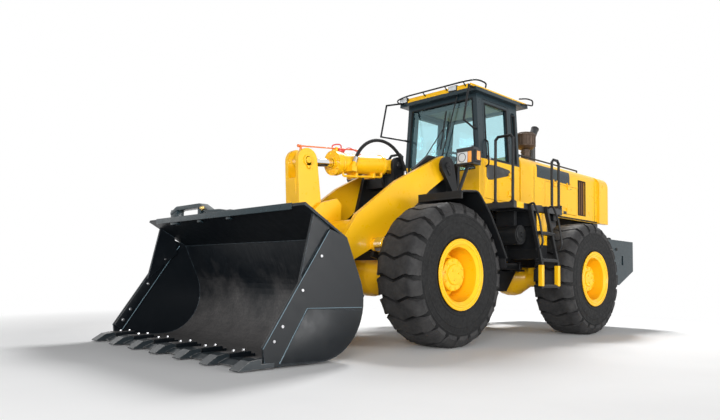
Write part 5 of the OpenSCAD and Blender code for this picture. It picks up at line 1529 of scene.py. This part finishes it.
def make_stage(looks):
    """Floor, soft lights, white background and the camera."""
    scene = bpy.context.scene
    scene.view_settings.view_transform = "Standard"
    bm = bmesh.new()
    bmesh.ops.create_grid(bm, x_segments=1, y_segments=1, size=60.0)
    mesh = bpy.data.meshes.new("studio_floor")
    bm.to_mesh(mesh)
    bm.free()
    floor = bpy.data.objects.new("studio_floor", mesh)
    scene.collection.objects.link(floor)
    tree, shader = new_finish("floor_white")
    shade = ramp(tree, noise(tree, 0.8, 3), 0.3, 0.7, 0.0, 1.0)
    join(tree, mix(tree, shade, (0.91, 0.91, 0.91, 1), (0.94, 0.94, 0.94, 1)), shader.inputs["Base Color"])
    put(shader, Roughness=0.7, Specular_IOR_Level=0.2)
    # Away from the machine the floor turns into the white backdrop
    apart = add(tree, "ShaderNodeVectorMath", operation="LENGTH")
    join(tree, object_place(tree), apart.inputs[0])
    fade = times(tree, ramp(tree, apart.outputs["Value"], *FLOOR_FADE), seen_directly(tree))
    white = add(tree, "ShaderNodeEmission", Color=(1, 1, 1, 1), Strength=1.0)
    mix_shaders(tree, fade, shader, white, surface_of(tree))
    mesh.materials.append(FINISH["floor_white"])

    world = bpy.data.worlds.new("studio")
    scene.world = world
    world.use_nodes = True
    tree = world.node_tree
    tree.nodes.clear()
    soft = add(tree, "ShaderNodeBackground", Color=(0.95, 0.97, 1.0, 1), Strength=looks.sky)
    white = add(tree, "ShaderNodeBackground", Color=(1, 1, 1, 1), Strength=1.0)
    output = tree.nodes.new("ShaderNodeOutputWorld")
    mix_shaders(tree, seen_directly(tree), soft, white, output.inputs["Surface"])

    for name, place, aim, power, size in (
        ("key_light", (17.0, 13.0, 3.2), (0.5, 0, 1.3), looks.key, 8.0),
        ("side_light", (-5.0, 19.0, 3.2), (-1.2, 0, 1.5), looks.fill, 8.0),
        ("top_light", (-5.0, -2.7, 9.2), (0.4, 0, 0.4), looks.top, 2.4),
    ):
        lamp = bpy.data.lights.new(name, "AREA")
        lamp.energy, lamp.size = power, size
        made = bpy.data.objects.new(name, lamp)
        scene.collection.objects.link(made)
        made.location = place
        made.rotation_euler = (Vector(aim) - Vector(place)).to_track_quat("-Z", "Y").to_euler()

    yaw, pitch, roll = (math.radians(value) for value in CAMERA_TURN)
    forward = Vector((math.cos(pitch) * math.cos(yaw), math.cos(pitch) * math.sin(yaw), math.sin(pitch)))
    right = forward.cross(Vector((0, 0, 1))).normalized()
    up = right.cross(forward)
    tilted = math.cos(roll) * right + math.sin(roll) * up
    top = math.cos(roll) * up - math.sin(roll) * right
    lens_data = bpy.data.cameras.new("photo_camera")
    lens_data.sensor_width, lens_data.lens = SENSOR_WIDTH, FOCAL_LENGTH
    width, height = PHOTO_SIZE
    lens_data.shift_x = (width / 2 - PHOTO_AXIS[0]) / width
    lens_data.shift_y = (PHOTO_AXIS[1] - height / 2) / width
    lens_data.clip_end = 300
    camera = bpy.data.objects.new("photo_camera", lens_data)
    scene.collection.objects.link(camera)
    turn = Matrix((tilted, top, -forward)).transposed().to_4x4()
    camera.matrix_world = Matrix.Translation(ahead(*CAMERA_PLACE)) @ turn
    scene.camera = camera


# Add-on


class LoaderLooks(bpy.types.PropertyGroup):
    """Sizes and colours a user would change."""

    yellow: bpy.props.FloatVectorProperty(
        name="Yellow", description="Body enamel", subtype="COLOR", size=3, min=0, max=1, default=(0.95, 0.515, 0.006))
    black: bpy.props.FloatVectorProperty(
        name="Black", description="Chassis enamel", subtype="COLOR", size=3, min=0, max=1,
        default=(0.0062, 0.0072, 0.0086))
    slate: bpy.props.FloatVectorProperty(
        name="Slate", description="Upper cab and counterweight enamel", subtype="COLOR", size=3, min=0, max=1,
        default=(0.0100, 0.0235, 0.0305))
    dust: bpy.props.FloatProperty(
        name="Dust", description="Dust on paint", subtype="FACTOR", min=0, max=1, default=0.28)
    lug_count: bpy.props.IntProperty(
        name="Lugs", description="Lugs round each tyre", min=16, max=28, default=22)
    lug_depth: bpy.props.FloatProperty(
        name="Lug depth", description="Height of the lugs over the tread floor", unit="LENGTH", min=0.02, max=0.06,
        default=0.042)
    sky: bpy.props.FloatProperty(name="Sky", description="Strength of the soft sky", min=0, max=3, default=0.14)
    key: bpy.props.FloatProperty(name="Key light", description="Power of the key light in watts", min=0, max=9000,
                                 default=3900)
    fill: bpy.props.FloatProperty(name="Fill light", description="Power of the side light in watts", min=0, max=9000,
                                  default=2000)
    top: bpy.props.FloatProperty(name="Top light", description="Power of the top light in watts", min=0, max=9000,
                                 default=1150)


class LOADER_OT_stage(bpy.types.Operator):
    """Set the floor, the lights, the white background and the camera"""

    bl_idname = "loader.stage"
    bl_label = "Stage"

    def execute(self, context):
        looks = context.scene.loader_looks
        make_stage(looks)
        return {"FINISHED"}


class LOADER_OT_finishes(bpy.types.Operator):
    """Make the finishes and give every part of the frame its own"""

    bl_idname = "loader.finishes"
    bl_label = "Finishes"

    def execute(self, context):
        looks = context.scene.loader_looks
        make_groups()
        make_finishes(looks)
        paint_frame()
        return {"FINISHED"}


class LOADER_OT_tyres(bpy.types.Operator):
    """Make four tyres with zigzag lugs and ribbed side walls"""

    bl_idname = "loader.tyres"
    bl_label = "Tyres"

    def execute(self, context):
        looks = context.scene.loader_looks
        make_tyres(looks)
        return {"FINISHED"}


class LOADER_OT_wheel_fittings(bpy.types.Operator):
    """Add nuts, hub covers, lock rings and valves"""

    bl_idname = "loader.wheel_fittings"
    bl_label = "Wheel fittings"

    def execute(self, context):
        make_wheel_fittings()
        return {"FINISHED"}


class LOADER_OT_bucket_fittings(bpy.types.Operator):
    """Add adapters, cutters, wear plates, ribs and the lip"""

    bl_idname = "loader.bucket_fittings"
    bl_label = "Bucket fittings"

    def execute(self, context):
        make_bucket_fittings()
        return {"FINISHED"}


class LOADER_OT_linkage_pins(bpy.types.Operator):
    """Add pin keepers and collars"""

    bl_idname = "loader.linkage_pins"
    bl_label = "Linkage pins"

    def execute(self, context):
        make_linkage_pins()
        return {"FINISHED"}


class LOADER_OT_cylinder_fittings(bpy.types.Operator):
    """Add glands, bands, pipes and the position rod"""

    bl_idname = "loader.cylinder_fittings"
    bl_label = "Cylinder fittings"

    def execute(self, context):
        make_cylinder_fittings()
        return {"FINISHED"}


class LOADER_OT_hoses(bpy.types.Operator):
    """Make the tilt hose and the hoses over the pivot"""

    bl_idname = "loader.hoses"
    bl_label = "Hoses"

    def execute(self, context):
        make_tilt_hose()
        make_pivot_hoses()
        return {"FINISHED"}


class LOADER_OT_fender_trim(bpy.types.Operator):
    """Add rolled edges, flaps and bolts"""

    bl_idname = "loader.fender_trim"
    bl_label = "Fender trim"

    def execute(self, context):
        make_fender_trim()
        return {"FINISHED"}


class LOADER_OT_headlamps(bpy.types.Operator):
    """Add lenses and bezels"""

    bl_idname = "loader.headlamps"
    bl_label = "Headlamps"

    def execute(self, context):
        make_headlamps()
        return {"FINISHED"}


class LOADER_OT_cab_seals(bpy.types.Operator):
    """Add window seals and door trim"""

    bl_idname = "loader.cab_seals"
    bl_label = "Cab seals"

    def execute(self, context):
        make_cab_seals()
        return {"FINISHED"}


class LOADER_OT_cab_trim(bpy.types.Operator):
    """Add wipers, roof guards, lamps and the inside"""

    bl_idname = "loader.cab_trim"
    bl_label = "Cab trim"

    def execute(self, context):
        make_cab_trim()
        return {"FINISHED"}


class LOADER_OT_seat(bpy.types.Operator):
    """Make the padded driver's seat"""

    bl_idname = "loader.seat"
    bl_label = "Seat"

    def execute(self, context):
        make_seat()
        return {"FINISHED"}


class LOADER_OT_hood_trim(bpy.types.Operator):
    """Add stripes, seams, mesh and latches"""

    bl_idname = "loader.hood_trim"
    bl_label = "Hood trim"

    def execute(self, context):
        make_hood_trim()
        return {"FINISHED"}


class LOADER_OT_stacks(bpy.types.Operator):
    """Add exhaust bands and the pre-cleaner's cage"""

    bl_idname = "loader.stacks"
    bl_label = "Stacks"

    def execute(self, context):
        make_stacks()
        return {"FINISHED"}


class LOADER_OT_rear_trim(bpy.types.Operator):
    """Add tail lamps, lifting rings and mesh"""

    bl_idname = "loader.rear_trim"
    bl_label = "Rear trim"

    def execute(self, context):
        make_rear_trim()
        return {"FINISHED"}


class LOADER_OT_platform_trim(bpy.types.Operator):
    """Add treads, covers and grips"""

    bl_idname = "loader.platform_trim"
    bl_label = "Platform trim"

    def execute(self, context):
        make_platform_trim()
        return {"FINISHED"}


class LOADER_OT_driveline(bpy.types.Operator):
    """Add drive shafts and axle bolts"""

    bl_idname = "loader.driveline"
    bl_label = "Driveline"

    def execute(self, context):
        make_driveline()
        return {"FINISHED"}


STEPS = (
    LOADER_OT_stage,
    LOADER_OT_finishes,
    LOADER_OT_tyres,
    LOADER_OT_wheel_fittings,
    LOADER_OT_bucket_fittings,
    LOADER_OT_linkage_pins,
    LOADER_OT_cylinder_fittings,
    LOADER_OT_hoses,
    LOADER_OT_fender_trim,
    LOADER_OT_headlamps,
    LOADER_OT_cab_seals,
    LOADER_OT_cab_trim,
    LOADER_OT_seat,
    LOADER_OT_hood_trim,
    LOADER_OT_stacks,
    LOADER_OT_rear_trim,
    LOADER_OT_platform_trim,
    LOADER_OT_driveline,
)


class LOADER_PT_looks(bpy.types.Panel):
    """Sidebar panel with the sizes and colours, and every step in order"""

    bl_label = "Wheel loader looks"
    bl_space_type = "VIEW_3D"
    bl_region_type = "UI"
    bl_category = "Loader"

    def draw(self, context):
        looks = context.scene.loader_looks
        for name in LoaderLooks.__annotations__:
            self.layout.prop(looks, name)
        for step in STEPS:
            self.layout.operator(step.bl_idname)


CLASSES = (LoaderLooks, *STEPS, LOADER_PT_looks)


def register():
    for made in CLASSES:
        bpy.utils.register_class(made)
    bpy.types.Scene.loader_looks = bpy.props.PointerProperty(type=LoaderLooks)


def unregister():
    del bpy.types.Scene.loader_looks
    for made in reversed(CLASSES):
        bpy.utils.unregister_class(made)


def main():
    register()
    for step in STEPS:
        getattr(bpy.ops.loader, step.bl_idname.split(".")[1])()


if __name__ == "__main__":
    main()
